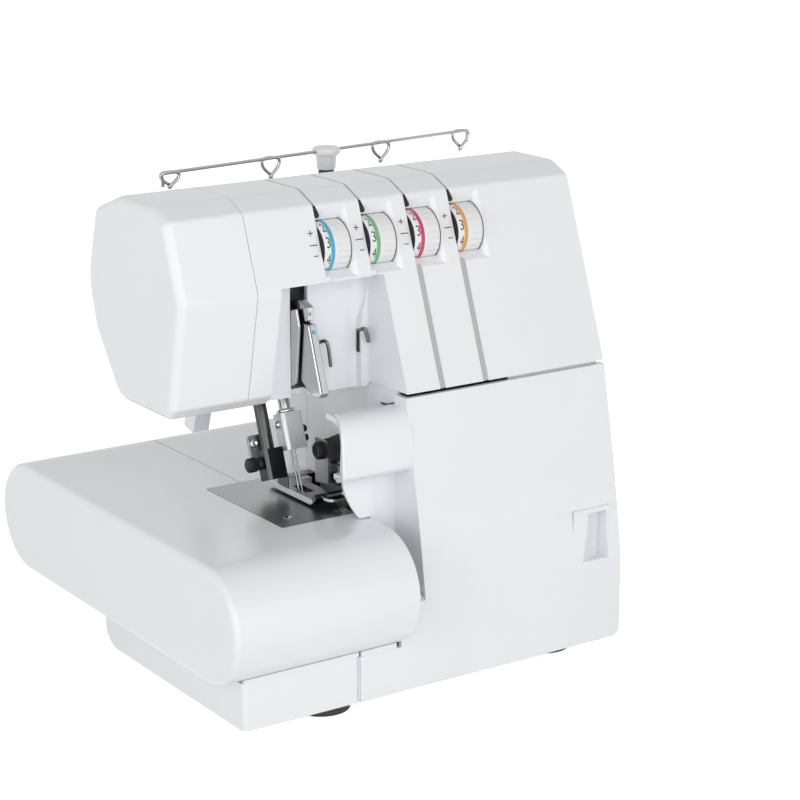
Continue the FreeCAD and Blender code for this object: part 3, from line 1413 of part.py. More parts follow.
def make_presser():
    """Presser bar, ankle, thumb screw, foot and the lifter lever with its pin."""
    finish(
        "presser_bar",
        leaned_rod("presser_rod", S.presser_x, 0, S.presser_low, S.presser_top, S.presser_radius),
    )
    half = S.ankle_half
    ankle_low = S.presser_low - S.wall
    ankle_top = S.presser_low + S.ankle_height
    ankle = Piece("foot_ankle", at=NEEDLE_POINT, leans=True)
    ankle.block((S.presser_x - half, S.presser_x + half), (-half, half), (ankle_low, ankle_top))
    ankle.round("z", [(S.presser_x - half, -half), (S.presser_x - half, half)], S.wall)
    ankle.disc("z", (S.presser_x, 0), S.presser_radius, S.presser_low, ankle_top, cut=True)
    knob_at = leaned(S.presser_x - half - S.knob_length, 0, S.presser_low + S.ankle_height / 2)
    finish("foot_screw", rod("foot_screw_knob", "x", knob_at, S.knob_length, S.knob_radius))
    foot = Piece("presser_foot")
    toe = S.foot_toe
    sole = [
        (S.foot_heel, S.foot_sole),
        (S.foot_heel, S.foot_sole + S.foot_thick),
        (toe + S.toe_curl + S.foot_thick, S.foot_sole + S.foot_thick),
        (toe + S.foot_thick, S.foot_sole + S.toe_curl + S.foot_thick),
        (toe, S.foot_sole + S.toe_curl),
        (toe + S.toe_curl, S.foot_sole),
    ]
    foot.prism("x", sole, S.foot_left, S.foot_right)
    foot.round("x", [sole[2], sole[5]], S.toe_curl)
    slot = S.needle_gap + S.needle_radius
    foot.block(
        (S.needle_x - slot, S.needle_x + slot),
        (S.needle_y - S.stroke_down, S.needle_y + S.needle_gap * 2),
        (S.foot_sole, S.foot_sole + S.foot_thick),
        cut=True,
    )
    shank_y = leaned(0, 0, ankle_low)[1]
    shank_low = leaned(0, -half, ankle_low)[2]
    stem = (S.foot_left, S.needle_x + S.presser_x + half)
    side = [
        (shank_y - half * cosine(S.lean), S.foot_sole + S.foot_thick / 2),
        (shank_y + half * cosine(S.lean), S.foot_sole + S.foot_thick / 2),
        leaned(0, half, ankle_low)[1:],
        (leaned(0, -half, ankle_low)[1], shank_low),
    ]
    foot.prism("x", side, *stem)
    make_presser_lever()


def make_presser_lever():
    """Lifter lever behind the head, on a pin in the frame's hanger."""
    lever = Piece("presser_lever")
    right = HANGER[0] - S.hanger_gap
    left = right - S.lever_width
    axis = (S.lever_y, S.lever_z)
    half = S.lever_thick / 2
    tip_y = S.lever_y + (S.lever_z - S.lever_tip) * tangent(S.lean)
    arm = [
        (S.lever_y - half, S.lever_z),
        (tip_y - half * 2, S.lever_tip),
        (tip_y + half * 2, S.lever_tip + half),
        (S.lever_y + half, S.lever_z),
    ]
    lever.prism("x", arm, left, right)
    lever.round("x", [arm[1], arm[2]], half / 2)
    lever.disc("x", axis, S.lever_hub, left, right)
    lever.disc("x", axis, S.lever_pin + S.fit, left, right, cut=True)


def make_knives():
    """Upper knife on its rocking shaft, and the fixed lower knife on its bracket."""
    axis = (S.knife_pivot_y, S.knife_pivot_z)
    arm_left = S.knife_x + S.knife_thick
    arm_right = arm_left + S.frame_wall
    middle = ((S.knife_front + S.knife_back) / 2, S.knife_tip + S.knife_rise)
    hub = S.knife_shaft + S.wall
    head = S.knife_head
    arm = Piece("knife_arm")
    beam = [
        (axis[0], axis[1] - hub),
        (middle[0], middle[1] - head),
        (middle[0], middle[1] + head),
        (axis[0], axis[1] + hub),
    ]
    arm.prism("x", beam, arm_left, arm_right)
    arm.disc("x", axis, hub, arm_left, arm_right)
    arm.disc("x", middle, head, arm_left, arm_right)
    arm.disc("x", axis, S.knife_shaft, arm_left, arm_right, cut=True)
    end = S.frame_left + S.frame_wall
    start = arm_left - S.frame_wall
    finish("knife_shaft", rod("knife_shaft_rod", "x", (start, *axis), end - start, S.knife_shaft))
    blade = Piece("upper_knife")
    shape = [
        (S.knife_front, S.knife_tip + S.knife_slant),
        (S.knife_back, S.knife_tip),
        (S.knife_back, middle[1] + head),
        (S.knife_front, middle[1] + head),
    ]
    blade.prism("x", shape, S.knife_x, arm_left)
    screw = S.knife_x - S.knife_thick
    finish(
        "knife_screw",
        rod("knife_screw_head", "x", (screw, *middle), S.knife_thick, S.knife_head / 2),
    )
    low_right = S.knife_x - S.slide_gap
    low_left = low_right - S.knife_thick
    ys = (S.knife_front, S.knife_back)
    lower = Piece("lower_knife")
    lower.block((low_left, low_right), ys, (S.table_top - S.knife_rise, S.table_top - S.slide_gap))
    bracket = Piece("lower_knife_bracket")
    post = low_left - S.frame_wall / 2
    floor = S.arm_bottom + S.wall
    bracket.block((post, low_left), ys, (floor, S.table_top - S.plate_thick))
    bracket.block((post, low_right + S.wall), ys, (floor, floor + S.wall))


def make_loopers():
    """Upper and lower looper, each a bent blade on a pin in the free arm's back wall."""
    lower = Piece("lower_looper")
    plane = (S.looper_y, S.looper_y + S.looper_thick)
    x, z = S.lower_looper_x, S.lower_looper_z
    hub = S.looper_hub
    blade = [
        (x + hub / 2, z),
        (x - hub / 4, S.looper_tip - hub),
        (S.needle_x - hub / 2, S.looper_tip),
        (S.needle_x - hub / 2, S.looper_tip - hub / 3),
        (x - hub, S.looper_tip - hub * 2),
        (x - hub / 2, z),
    ]
    lower.prism("y", blade, *plane)
    lower.disc("y", (x, z), hub, *plane)
    lower.disc("y", (x, z), S.looper_pin + S.fit, *plane, cut=True)
    ahead = (S.looper_y - S.looper_thick * 2, S.looper_y - S.looper_thick)
    upper = Piece("upper_looper")
    ux, uz = S.upper_looper_x, S.upper_looper_z
    top = S.table_top - S.wall
    blade = [
        (ux + hub / 2, uz),
        (ux - hub / 4, top - hub),
        (S.knife_x - S.wall, top),
        (S.knife_x - S.wall, top - hub / 3),
        (ux - hub, top - hub * 2),
        (ux - hub / 2, uz),
    ]
    upper.prism("y", blade, *ahead)
    upper.disc("y", (ux, uz), hub, *ahead)
    upper.disc("y", (ux, uz), S.looper_pin + S.fit, *ahead, cut=True)


def make_pivot_pins():
    """Fixed pins of the take-up lever, the lifter lever and the two loopers."""
    lug = TAKEUP_LUGS[0]
    lever = HANGER[0] - S.lever_width - S.hanger_gap * 2
    inside = S.split - S.seam - S.wall
    front = S.looper_y - S.looper_thick * 2
    pins = [
        rod("take_up_pin", "x", (lug, S.takeup_y, S.takeup_z),
            TAKEUP_LUGS[1] + S.frame_wall - lug, S.takeup_pin),
        rod("lifter_pin", "x", (lever, S.lever_y, S.lever_z), HANGER[1] - lever, S.lever_pin),
        rod("lower_looper_pin", "y", (S.lower_looper_x, S.looper_y, S.lower_looper_z),
            inside - S.looper_y, S.looper_pin),
        rod("upper_looper_pin", "y", (S.upper_looper_x, front, S.upper_looper_z),
            inside - front, S.looper_pin),
    ]
    finish("pivot_pins", fuse("pivot_pins", *pins))


def make_feed():
    """Feed bar with its toothed dog, sliding on the shelves of the free arm."""
    feed = Piece("feed_dog")
    side = S.feed_width / 2
    bar = (S.feed_left - side, S.feed_left + S.feed_width)
    feed.block(bar, (S.feed_front - S.wall, S.feed_back + S.wall), (FEED_BAR_LOW, FEED_BAR_TOP))
    feed.block(
        (S.feed_left, S.feed_left + S.feed_width), (S.feed_front, S.feed_back), (FEED_BAR_TOP, FEED_TOP)
    )
    count = S.feed_teeth
    pitch = (S.feed_back - S.feed_front) / count
    tooth = [
        (S.feed_front, FEED_TOP),
        (S.feed_front + pitch * S.tooth_share, FEED_TOP - pitch / 2),
        (S.feed_front + pitch * S.tooth_share, FEED_TOP),
    ]
    feed.prism("x", tooth, S.feed_left, S.feed_left + S.feed_width, cut=True)
    feed.repeat_along("y", S.feed_back - S.feed_front - pitch, count)


def belt_loop(radius_gap):
    """Outline of a loop round both pulleys, and the centres of its two bends."""
    big = S.pulley_radius + radius_gap
    small = S.small_pulley + radius_gap
    run_y = S.motor_y - S.shaft_y
    run_z = S.motor_z - S.shaft_z
    span = length_of(run_y, run_z)
    rise = (big - small) / span
    spread = root(1 - rise * rise)
    away = (run_y / span, run_z / span)
    points = []
    for side in (-1, 1):
        push = (away[0] * rise - away[1] * spread * side, away[1] * rise + away[0] * spread * side)
        points.append((S.shaft_y + push[0] * big, S.shaft_z + push[1] * big))
        points.append((S.motor_y + push[0] * small, S.motor_z + push[1] * small))
    near_low, far_low, near_high, far_high = points
    centres = {1: (S.motor_y, S.motor_z), 3: (S.shaft_y, S.shaft_z)}
    return [near_low, far_low, far_high, near_high], centres


def make_drive():
    """Main shaft, pulleys, belt, motor and the handwheel."""
    axis = (S.shaft_y, S.shaft_z)
    start = S.frame_left + S.wall
    shaft_end = S.wheel_right - S.wall
    finish("main_shaft", rod("main_shaft_rod", "x", (start, *axis), shaft_end - start, S.shaft_radius))
    wheel = Piece("handwheel", at=(S.wheel_left, *axis))
    width = S.wheel_right - S.wheel_left
    wheel.disc("x", (0, 0), S.wheel_radius, 0, width)
    rim = S.wheel_radius.value
    wheel.fillet(
        lambda edge: edge.Curve.TypeId == "Part::GeomCircle" and edge.Curve.Radius > rim - TOUCH, S.wall
    )
    wheel.disc("x", (0, 0), S.shaft_radius, 0, width - S.wall, cut=True)
    wheel.disc("x", (S.wheel_radius + S.grip_out, 0), S.wall, 0, width, cut=True)
    wheel.repeat_about("x", S.wheel_grips)
    pulley = Piece("main_pulley", at=(S.pulley_left, *axis))
    pulley.disc("x", (0, 0), S.pulley_radius, 0, S.belt_width)
    pulley.disc("x", (0, 0), S.shaft_radius, 0, S.belt_width, cut=True)
    belt = Piece("drive_belt")
    gap = S.belt_gap
    span = (S.pulley_left, S.pulley_left + S.belt_width)
    outline, centres = belt_loop(gap + S.belt_thick)
    belt.prism("x", outline, *span, arcs=centres)
    outline, centres = belt_loop(gap)
    belt.prism("x", outline, *span, arcs=centres, cut=True)
    motor_axis = (S.motor_y, S.motor_z)
    motor_right = S.motor_left + S.motor_length
    motor = Piece("motor")
    motor.disc("x", motor_axis, S.motor_radius, S.motor_left, motor_right)
    motor.disc("x", motor_axis, S.motor_shaft + S.fit, motor_right - S.frame_wall, motor_right, cut=True)
    rotor = Piece("motor_pulley")
    rotor.disc("x", motor_axis, S.motor_shaft, motor_right - S.frame_wall, S.pulley_left)
    rotor.disc("x", motor_axis, S.small_pulley, *span)


def make_side_controls():
    """Stitch length and differential feed dials, power switch and inlet on the right side."""
    face = S.cover_right + S.seam
    for label, y in (("stitch_length_dial", S.dial_row_front), ("differential_dial", S.dial_row_back)):
        knob = Piece(label, at=(face, y, S.dial_row_z))
        knob.disc("x", (0, 0), S.knob_dial, 0, S.knob_depth)
        rim = S.knob_dial.value
        knob.fillet(
            lambda edge: edge.Curve.TypeId == "Part::GeomCircle" and edge.Curve.Radius > rim - TOUCH,
            S.dial_edge,
        )
        knob.disc("x", (S.knob_dial + S.dial_flute, 0), S.screw_radius, 0, S.knob_depth, cut=True)
        knob.repeat_about("x", S.wheel_grips)
        knob.disc("x", (0, 0), S.knob_stem, -S.frame_wall, 0)
    rocker = Piece("power_switch", at=(S.cover_right - S.switch_pin_in, S.switch_y, S.switch_z))
    half = S.switch_half
    shape = [
        (-S.wall, S.switch_taper - half),
        (S.switch_pin_in, -half),
        (S.switch_pin_in - S.wall / 2, 0),
        (S.switch_pin_in + S.wall / 2, half),
        (-S.wall, half - S.switch_taper),
    ]
    rocker.prism("y", shape, -S.switch_width / 2, S.switch_width / 2)
    pin = S.switch_width / 2 + S.wall
    rocker.disc("y", (0, 0), S.switch_pin, -pin, pin)
    inlet = Piece("power_inlet", at=(S.cover_right, S.inlet_y, S.switch_z))
    wide = S.inlet_width / 2
    tall = S.inlet_height / 2
    inlet.block((-S.switch_depth, S.seam * 2), (-wide, wide), (-tall, tall))
    inlet.block(
        (S.wall - S.switch_depth, S.seam * 2), (S.wall - wide, wide - S.wall), (S.wall - tall, tall - S.wall),
        cut=True,
    )
    for side in (-1, 1):
        inlet.disc("x", (S.wall * side, 0), S.prong_radius, S.wall - S.switch_depth, -S.wall)


def make_thread_stand():
    """Telescopic mast with the thread guide bar, and the spool stand behind the base."""
    foot = (S.mast_x, S.mast_y, S.table_top)
    height = S.mast_tube_top - S.table_top
    tube = fuse(
        "mast_body",
        rod("mast_tube_outer", "z", foot, height, S.mast_tube),
        rod("mast_flange", "z", foot, S.wall, S.mast_tube * 2),
    )
    finish("mast_tube", cut("mast_tube", tube, rod("mast_bore", "z", foot, height, S.mast_rod + S.fit)))
    rod_low = S.table_top + S.frame_wall
    rod_top = S.bar_z - S.wall
    finish(
        "mast_rod",
        rod("mast_sliding_rod", "z", (S.mast_x, S.mast_y, rod_low), rod_top - rod_low, S.mast_rod),
    )
    make_guide_head(rod_top)
    stand = Piece("spool_stand")
    top = S.stand_bottom + S.stand_thick
    ys = (S.base_back, S.stand_back)
    stand.block((S.stand_left, S.stand_right), ys, (S.stand_bottom, top))
    stand.round("z", [(S.stand_left, S.stand_back), (S.stand_right, S.stand_back)], S.spool_seat)
    flange = (S.stand_bottom, S.table_bottom - S.wall)
    stand.block((S.base_step, S.base_right), (S.base_back, S.base_back + S.wall), flange)
    pins = []
    seats = []
    for n in range(4):
        x = S.spool_first + S.spool_pitch * n
        foot = top + S.wall
        pins.append(rod(f"spool_pin_{n}", "z", (x, S.spool_y, foot), S.pin_top - foot, S.pin_radius))
        seats.append(rod(f"spool_seat_{n}", "z", (x, S.spool_y, top), S.wall, S.spool_seat))
    finish("spool_pins", fuse("spool_pins", *pins))
    finish("spool_seats", fuse("spool_seats", *seats))


def make_guide_head(rod_top):
    """Cap on the mast and the wire bar with four thread loops, turned a little."""
    cap = Piece("guide_cap", at=(S.mast_x, S.mast_y, S.bar_z), turn=S.bar_turn)
    collar_low = rod_top - S.bar_z - S.cap_collar
    cap.disc("z", (0, 0), S.cap_radius - S.bush_wall, collar_low, -S.bush_wall)
    cap.disc("z", (0, 0), S.cap_radius, -S.bush_wall, S.wall)
    cap.disc("z", (0, 0), S.mast_rod + S.fit, collar_low, rod_top - S.bar_z, cut=True)
    cap.disc("x", (0, 0), S.bar_wire, -S.cap_radius, S.cap_radius, cut=True)
    bar = Piece("guide_bar", at=(S.mast_x, S.mast_y, S.bar_z), turn=S.bar_turn)
    bar.disc("x", (0, 0), S.bar_wire, -S.bar_reach, S.bar_reach)
    low = -S.loop_radius
    flat = S.loop_half
    outer = S.bar_reach - S.loop_radius - flat
    for x in (-outer, -S.loop_inner, S.loop_inner, outer):
        bar.disc("y", (x, low), S.loop_radius + flat, -flat, flat)
        bar.disc("y", (x, low), S.loop_hole, -flat, flat, cut=True)


def make_thread_hooks():
    """Thread hooks on the floor of the recess."""
    hooks = []
    for n, (x, fall) in enumerate(((S.hook_first, S.hook_drop), (S.hook_second, S.hook_reach))):
        out = S.recess_floor - S.hook_reach
        stem = rod(f"hook_stem_{n}", "y", (x, out, S.hook_z), S.hook_reach, S.bar_wire)
        drop = rod(f"hook_drop_{n}", "z", (x, out, S.hook_z - fall), fall, S.bar_wire)
        hooks.append(fuse(f"hook_{n}", stem, drop))
    finish("recess_thread_hooks", fuse("recess_thread_hooks", *hooks))


builders = (
    make_base_tray,
    make_feet,
    make_bed_housing,
    make_free_arm,
    make_needle_plate,
    make_extension_table,
    make_front_cover,
    make_hinge_rod,
    make_upper_front_cover,
    make_rear_cover,
    make_head_end_cover,
    make_side_cover,
    make_main_frame,
    make_bushes,
    make_tension_units,
    make_needle_group,
    make_take_up,
    make_presser,
    make_knives,
    make_loopers,
    make_pivot_pins,
    make_feed,
    make_drive,
    make_side_controls,
    make_thread_stand,
    make_thread_hooks,
)
for build in builders:
    build()
doc.recompute()

for thing in doc.Objects:
    if "Invalid" in thing.State or "Error" in thing.State:
        raise RuntimeError(f"{thing.Label} did not recompute: {thing.State}")
for thing in finished:
    if thing.Shape.isNull() or not thing.Shape.isValid():
        raise RuntimeError(f"{thing.Label} has no valid shape")

os.makedirs("parts", exist_ok=True)
for thing in finished:
    thing.Shape.exportStep(f"parts/{thing.Label}.step")
    print(thing.Label, len(thing.Shape.Solids), round(thing.Shape.Volume))
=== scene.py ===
"""Looks of a table-top overlock machine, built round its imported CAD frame."""

from __future__ import annotations

import json
import logging
import math
from dataclasses import dataclass, field
from enum import Enum

import bmesh
import bpy
import numpy as np
from mathutils import Matrix

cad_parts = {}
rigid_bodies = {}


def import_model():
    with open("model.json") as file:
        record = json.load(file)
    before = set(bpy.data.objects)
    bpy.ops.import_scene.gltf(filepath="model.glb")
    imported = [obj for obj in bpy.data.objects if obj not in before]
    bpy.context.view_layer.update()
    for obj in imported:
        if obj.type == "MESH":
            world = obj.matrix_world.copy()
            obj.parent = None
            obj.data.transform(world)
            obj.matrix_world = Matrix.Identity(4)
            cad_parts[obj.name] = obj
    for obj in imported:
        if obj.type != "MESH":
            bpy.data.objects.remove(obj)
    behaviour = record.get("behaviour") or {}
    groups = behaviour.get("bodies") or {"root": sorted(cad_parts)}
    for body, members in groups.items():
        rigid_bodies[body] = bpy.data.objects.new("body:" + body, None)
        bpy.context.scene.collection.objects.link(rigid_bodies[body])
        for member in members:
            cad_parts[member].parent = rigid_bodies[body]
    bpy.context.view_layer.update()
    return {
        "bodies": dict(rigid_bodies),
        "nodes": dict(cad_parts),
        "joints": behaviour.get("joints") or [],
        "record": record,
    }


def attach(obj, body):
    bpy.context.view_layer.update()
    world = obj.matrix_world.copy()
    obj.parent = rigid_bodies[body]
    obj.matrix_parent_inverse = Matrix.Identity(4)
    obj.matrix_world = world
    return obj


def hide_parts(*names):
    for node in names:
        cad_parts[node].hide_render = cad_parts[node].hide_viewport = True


LOG = logging.getLogger("overlock")
Pair = tuple[float, float]
Point = tuple[float, float, float]
Outline = tuple[Pair, ...]
MM = 0.001
ORIGIN = np.array((-139.0, -149.0, 7.0))
LEAN = math.radians(20.0)
TOE_LEAN = 0.1
ROUND = 2.0 * math.pi
RING_SIDES = 96
COAT_ROUGH = 0.12
BUMP_DEPTH = 0.0002
SQUARE = np.array([(-0.5, -0.5), (0.5, -0.5), (0.5, 0.5), (-0.5, 0.5)])


def row(points: np.ndarray) -> np.ndarray:
    """Machine points as metres from the frame's origin."""
    return (np.asarray(points, dtype=float) + ORIGIN) * MM


def rounded(wide: float, tall: float, corner: float, steps: int = 6) -> np.ndarray:
    """Outline of a rectangle about its middle, with quarter circles at its corners, turning left.

    Args:
        wide: its width.
        tall: its height.
        corner: the corners' radius.
        steps: points on each corner.

    Returns:
        The outline's points, n by 2.
    """
    quarter = np.linspace(0.0, math.pi / 2.0, steps)
    turn = (quarter[None, :] + np.arange(4)[:, None] * math.pi / 2.0).ravel()
    side = np.repeat(np.array([(1, 1), (-1, 1), (-1, -1), (1, -1)]), steps, axis=0)
    middle = side * (wide / 2.0 - corner, tall / 2.0 - corner)
    return middle + corner * np.column_stack((np.cos(turn), np.sin(turn)))


def smooth(control: np.ndarray, steps: int) -> np.ndarray:
    """A uniform cubic spline along control points, which starts at the first and ends at the last.

    Args:
        control: the control points, n by 3.
        steps: points on each stretch between two control points.

    Returns:
        Points along the curve.
    """
    knots = np.vstack((2 * control[0] - control[1], control, 2 * control[-1] - control[-2]))
    t = np.linspace(0.0, 1.0, steps, endpoint=False)[None, :, None]
    a, b, c, d = knots[:-3, None], knots[1:-2, None], knots[2:-1, None], knots[3:, None]
    cube, square = -a + 3 * b - 3 * c + d, 3 * a - 6 * b + 3 * c
    curve = cube * t**3 + square * t**2 + (3 * c - 3 * a) * t + a + 4 * b + c
    return np.vstack((curve.reshape(-1, 3) / 6.0, control[-1:]))


def node(
    tree: bpy.types.NodeTree, kind: str, numbers: dict | None = None, **traits: object
) -> bpy.types.Node:
    """A new shader node.

    Args:
        tree: the tree that it goes into.
        kind: its type, without the leading words ShaderNode.
        numbers: input to value.
        traits: its own settings, which are set before the inputs.

    Returns:
        The node.
    """
    made = tree.nodes.new(f"ShaderNode{kind}")
    for trait, choice in traits.items():
        setattr(made, trait, choice)
    for socket, number in (numbers or {}).items():
        made.inputs[socket].default_value = number
    return made


def join(tree: bpy.types.NodeTree, *links: tuple) -> None:
    """Links sockets, each link given as a node, its output, a node and its input."""
    for start, out, end, into in links:
        tree.links.new(start.outputs[out], end.inputs[into])


class Axis(Enum):
    """Which machine axis a turned piece spins about."""

    X = ((0, 1, 0), (0, 0, 1), (1, 0, 0))
    Y = ((0, 0, 1), (1, 0, 0), (0, 1, 0))
    Z = ((1, 0, 0), (0, 1, 0), (0, 0, 1))
    FRONT = ((1, 0, 0), (0, math.sin(LEAN), math.cos(LEAN)), (0, -math.cos(LEAN), math.sin(LEAN)))
    LEANING = ((1, 0, 0), (0, math.cos(LEAN), -math.sin(LEAN)), (0, math.sin(LEAN), math.cos(LEAN)))

    def basis(self) -> np.ndarray:
        """Rows are the two directions across the axis, then the axis."""
        return np.array(self.value, dtype=float)


class Plane(Enum):
    """Directions across and up of a plate's outline."""

    SIDE = ((0, 1, 0), (0, 0, 1))
    FRONT = ((1, 0, 0), (0, 0, 1))
    REAR = ((-1, 0, 0), (0, 0, 1))
    PANEL = ((1, 0, 0), (0, math.sin(LEAN), math.cos(LEAN)))
    TOE = ((1, 0, 0), (0, math.cos(TOE_LEAN), math.sin(TOE_LEAN)))

    def lay(self, corner: Point, outline: np.ndarray) -> np.ndarray:
        """An outline in space.

        Args:
            corner: the point that the outline counts from.
            outline: its points, n by 2.

        Returns:
            The points, n by 3.
        """
        across, up = np.array(self.value, dtype=float)
        flat = np.asarray(outline, dtype=float)
        return np.asarray(corner, dtype=float) + flat[:, :1] * across + flat[:, 1:] * up

    def out(self) -> np.ndarray:
        """The direction square to the plane."""
        return np.cross(*np.array(self.value, dtype=float))


class Shade(Enum):
    """Plain colours of the machine, linear, and two greys of painted shade for its grooves and gaps."""

    WHITE = (0.82, 0.835, 0.865)
    IVORY = (0.80, 0.80, 0.80)
    INK = (0.045, 0.047, 0.055)
    BLACK = (0.018, 0.018, 0.020)
    RUBBER = (0.030, 0.030, 0.032)
    STEEL = (0.40, 0.41, 0.42)
    PLATE = (0.31, 0.315, 0.32)
    LEVER = (0.50, 0.505, 0.515)
    # The next two colours are painted shade: the shaded floor of the grooves below the dials, and the dark
    # shaded edges of grooves and gaps.
    GROOVE = (0.48, 0.475, 0.465)
    SEAM = (0.16, 0.16, 0.16)
    BLACK_STEEL = (0.075, 0.076, 0.08)
    DARK_STEEL = (0.17, 0.172, 0.175)
    GREY = (0.42, 0.42, 0.43)
    CHROME = (0.70, 0.71, 0.73)
    CAST = (0.50, 0.51, 0.52)
    BRONZE = (0.42, 0.27, 0.11)
    SLATE = (0.030, 0.033, 0.040)
    BLUE = (0.045, 0.40, 0.58)
    GREEN = (0.16, 0.44, 0.20)
    CRIMSON = (0.58, 0.040, 0.13)
    ORANGE = (0.72, 0.34, 0.07)


class Kit:
    """Shader groups shared by several finishes, each built once."""

    def __init__(self) -> None:
        """Builds the groups."""
        self.grain = self.build_grain()
        self.brush = self.build_brush()
        self.handling = self.build_handling()

    @staticmethod
    def group(name: str, inputs: dict[str, float], *outputs: str) -> bpy.types.NodeTree:
        """A new shader group with its sockets.

        Args:
            name: the group's name.
            inputs: socket name to default number.
            outputs: names of the outputs.

        Returns:
            The node tree, with one group input node and one group output node.
        """
        tree = bpy.data.node_groups.new(name, "ShaderNodeTree")
        tree.interface.new_socket("Vector", in_out="INPUT", socket_type="NodeSocketVector")
        for label, number in inputs.items():
            socket = tree.interface.new_socket(label, in_out="INPUT", socket_type="NodeSocketFloat")
            socket.default_value = number
        for label in outputs:
            tree.interface.new_socket(label, in_out="OUTPUT", socket_type="NodeSocketFloat")
        tree.nodes.new("NodeGroupInput").name = "in"
        tree.nodes.new("NodeGroupOutput").name = "out"
        return tree

    def build_grain(self) -> bpy.types.NodeTree:
        """Moulded grain: fine noise on a slow swell, as height and roughness.

        Returns:
            The group.
        """
        numbers = {"Fine": 2600.0, "Swell": 16.0, "Rough": 0.3, "Spread": 0.08}
        tree = self.group("moulded_grain", numbers, "Height", "Roughness")
        start, end = tree.nodes["in"], tree.nodes["out"]
        fine = node(tree, "TexNoise")
        swell = node(tree, "TexNoise", {"Detail": 3.0})
        mix = node(tree, "Math", {1: 0.35}, operation="MULTIPLY_ADD")
        spread = node(tree, "Math", operation="MULTIPLY_ADD")
        join(
            tree,
            (start, "Vector", fine, "Vector"),
            (start, "Vector", swell, "Vector"),
            (start, "Fine", fine, "Scale"),
            (start, "Swell", swell, "Scale"),
            (fine, "Fac", mix, 0),
            (swell, "Fac", mix, 2),
            (swell, "Fac", spread, 0),
            (start, "Spread", spread, 1),
            (start, "Rough", spread, 2),
            (mix, 0, end, "Height"),
            (spread, 0, end, "Roughness"),
        )
        return tree

    def build_brush(self) -> bpy.types.NodeTree:
        """Ground metal: noise stretched along one direction, as height and roughness.

        Returns:
            The group.
        """
        numbers = {"Scale": 90.0, "Stretch": 40.0, "Rough": 0.25, "Spread": 0.2}
        tree = self.group("ground_lines", numbers, "Height", "Roughness")
        start, end = tree.nodes["in"], tree.nodes["out"]
        pull = node(tree, "VectorMath", operation="MULTIPLY")
        pack = node(tree, "CombineXYZ", {"X": 1.0})
        lines = node(tree, "TexNoise", {"Detail": 4.0})
        spread = node(tree, "Math", operation="MULTIPLY_ADD")
        join(
            tree,
            (start, "Stretch", pack, "Y"),
            (start, "Stretch", pack, "Z"),
            (start, "Vector", pull, 0),
            (pack, 0, pull, 1),
            (pull, 0, lines, "Vector"),
            (start, "Scale", lines, "Scale"),
            (lines, "Fac", spread, 0),
            (start, "Spread", spread, 1),
            (start, "Rough", spread, 2),
            (lines, "Fac", end, "Height"),
            (spread, 0, end, "Roughness"),
        )
        return tree

    def build_handling(self) -> bpy.types.NodeTree:
        """Faint marks of use: a soft cloudy mask between 0 and the given amount.

        Returns:
            The group.
        """
        tree = self.group("handling", {"Scale": 22.0, "Amount": 0.1}, "Mask")
        start, end = tree.nodes["in"], tree.nodes["out"]
        cloud = node(tree, "TexNoise", {"Detail": 5.0})
        curve = node(tree, "MapRange", {"From Min": 0.42, "From Max": 0.72})
        join(
            tree,
            (start, "Vector", cloud, "Vector"),
            (start, "Scale", cloud, "Scale"),
            (cloud, "Fac", curve, "Value"),
            (start, "Amount", curve, "To Max"),
            (curve, 0, end, "Mask"),
        )
        return tree


@dataclass(frozen=True)
class Finish:
    """One surface finish and the numbers its shader needs."""

    name: str
    colour: Shade
    soil: Point
    rough: float
    spread: float = 0.08
    metal: float = 0.0
    coat: float = 0.0
    bump: float = 0.04
    fine: float = 2600.0
    ground: bool = False
    use: float = 0.12
    shine: float = 0.5

    def material(self, kit: Kit) -> bpy.types.Material:
        """The node material of this finish.

        Args:
            kit: the shared shader groups.

        Returns:
            A new material on Object coordinates.
        """
        made = bpy.data.materials.new(self.name)
        made.use_nodes = True
        tree = made.node_tree
        shader = tree.nodes["Principled BSDF"]
        shader.inputs["Metallic"].default_value = self.metal
        shader.inputs["Coat Weight"].default_value = self.coat
        shader.inputs["Coat Roughness"].default_value = COAT_ROUGH
        shader.inputs["Specular IOR Level"].default_value = self.shine
        where = node(tree, "TexCoord")
        numbers = {"Rough": self.rough, "Spread": self.spread}
        if not self.ground:
            numbers["Fine"] = self.fine
        detail = node(tree, "Group", numbers, node_tree=kit.brush if self.ground else kit.grain)
        marks = node(tree, "Group", {"Amount": self.use}, node_tree=kit.handling)
        colours = {"A": (*self.colour.value, 1.0), "B": (*self.soil, 1.0)}
        tint = node(tree, "Mix", colours, data_type="RGBA")
        bump = node(tree, "Bump", {"Strength": self.bump, "Distance": BUMP_DEPTH})
        join(
            tree,
            (where, "Object", detail, "Vector"),
            (where, "Object", marks, "Vector"),
            (marks, "Mask", tint, "Factor"),
            (tint, "Result", shader, "Base Color"),
            (detail, "Roughness", shader, "Roughness"),
            (detail, "Height", bump, "Height"),
            (bump, "Normal", shader, "Normal"),
        )
        return made


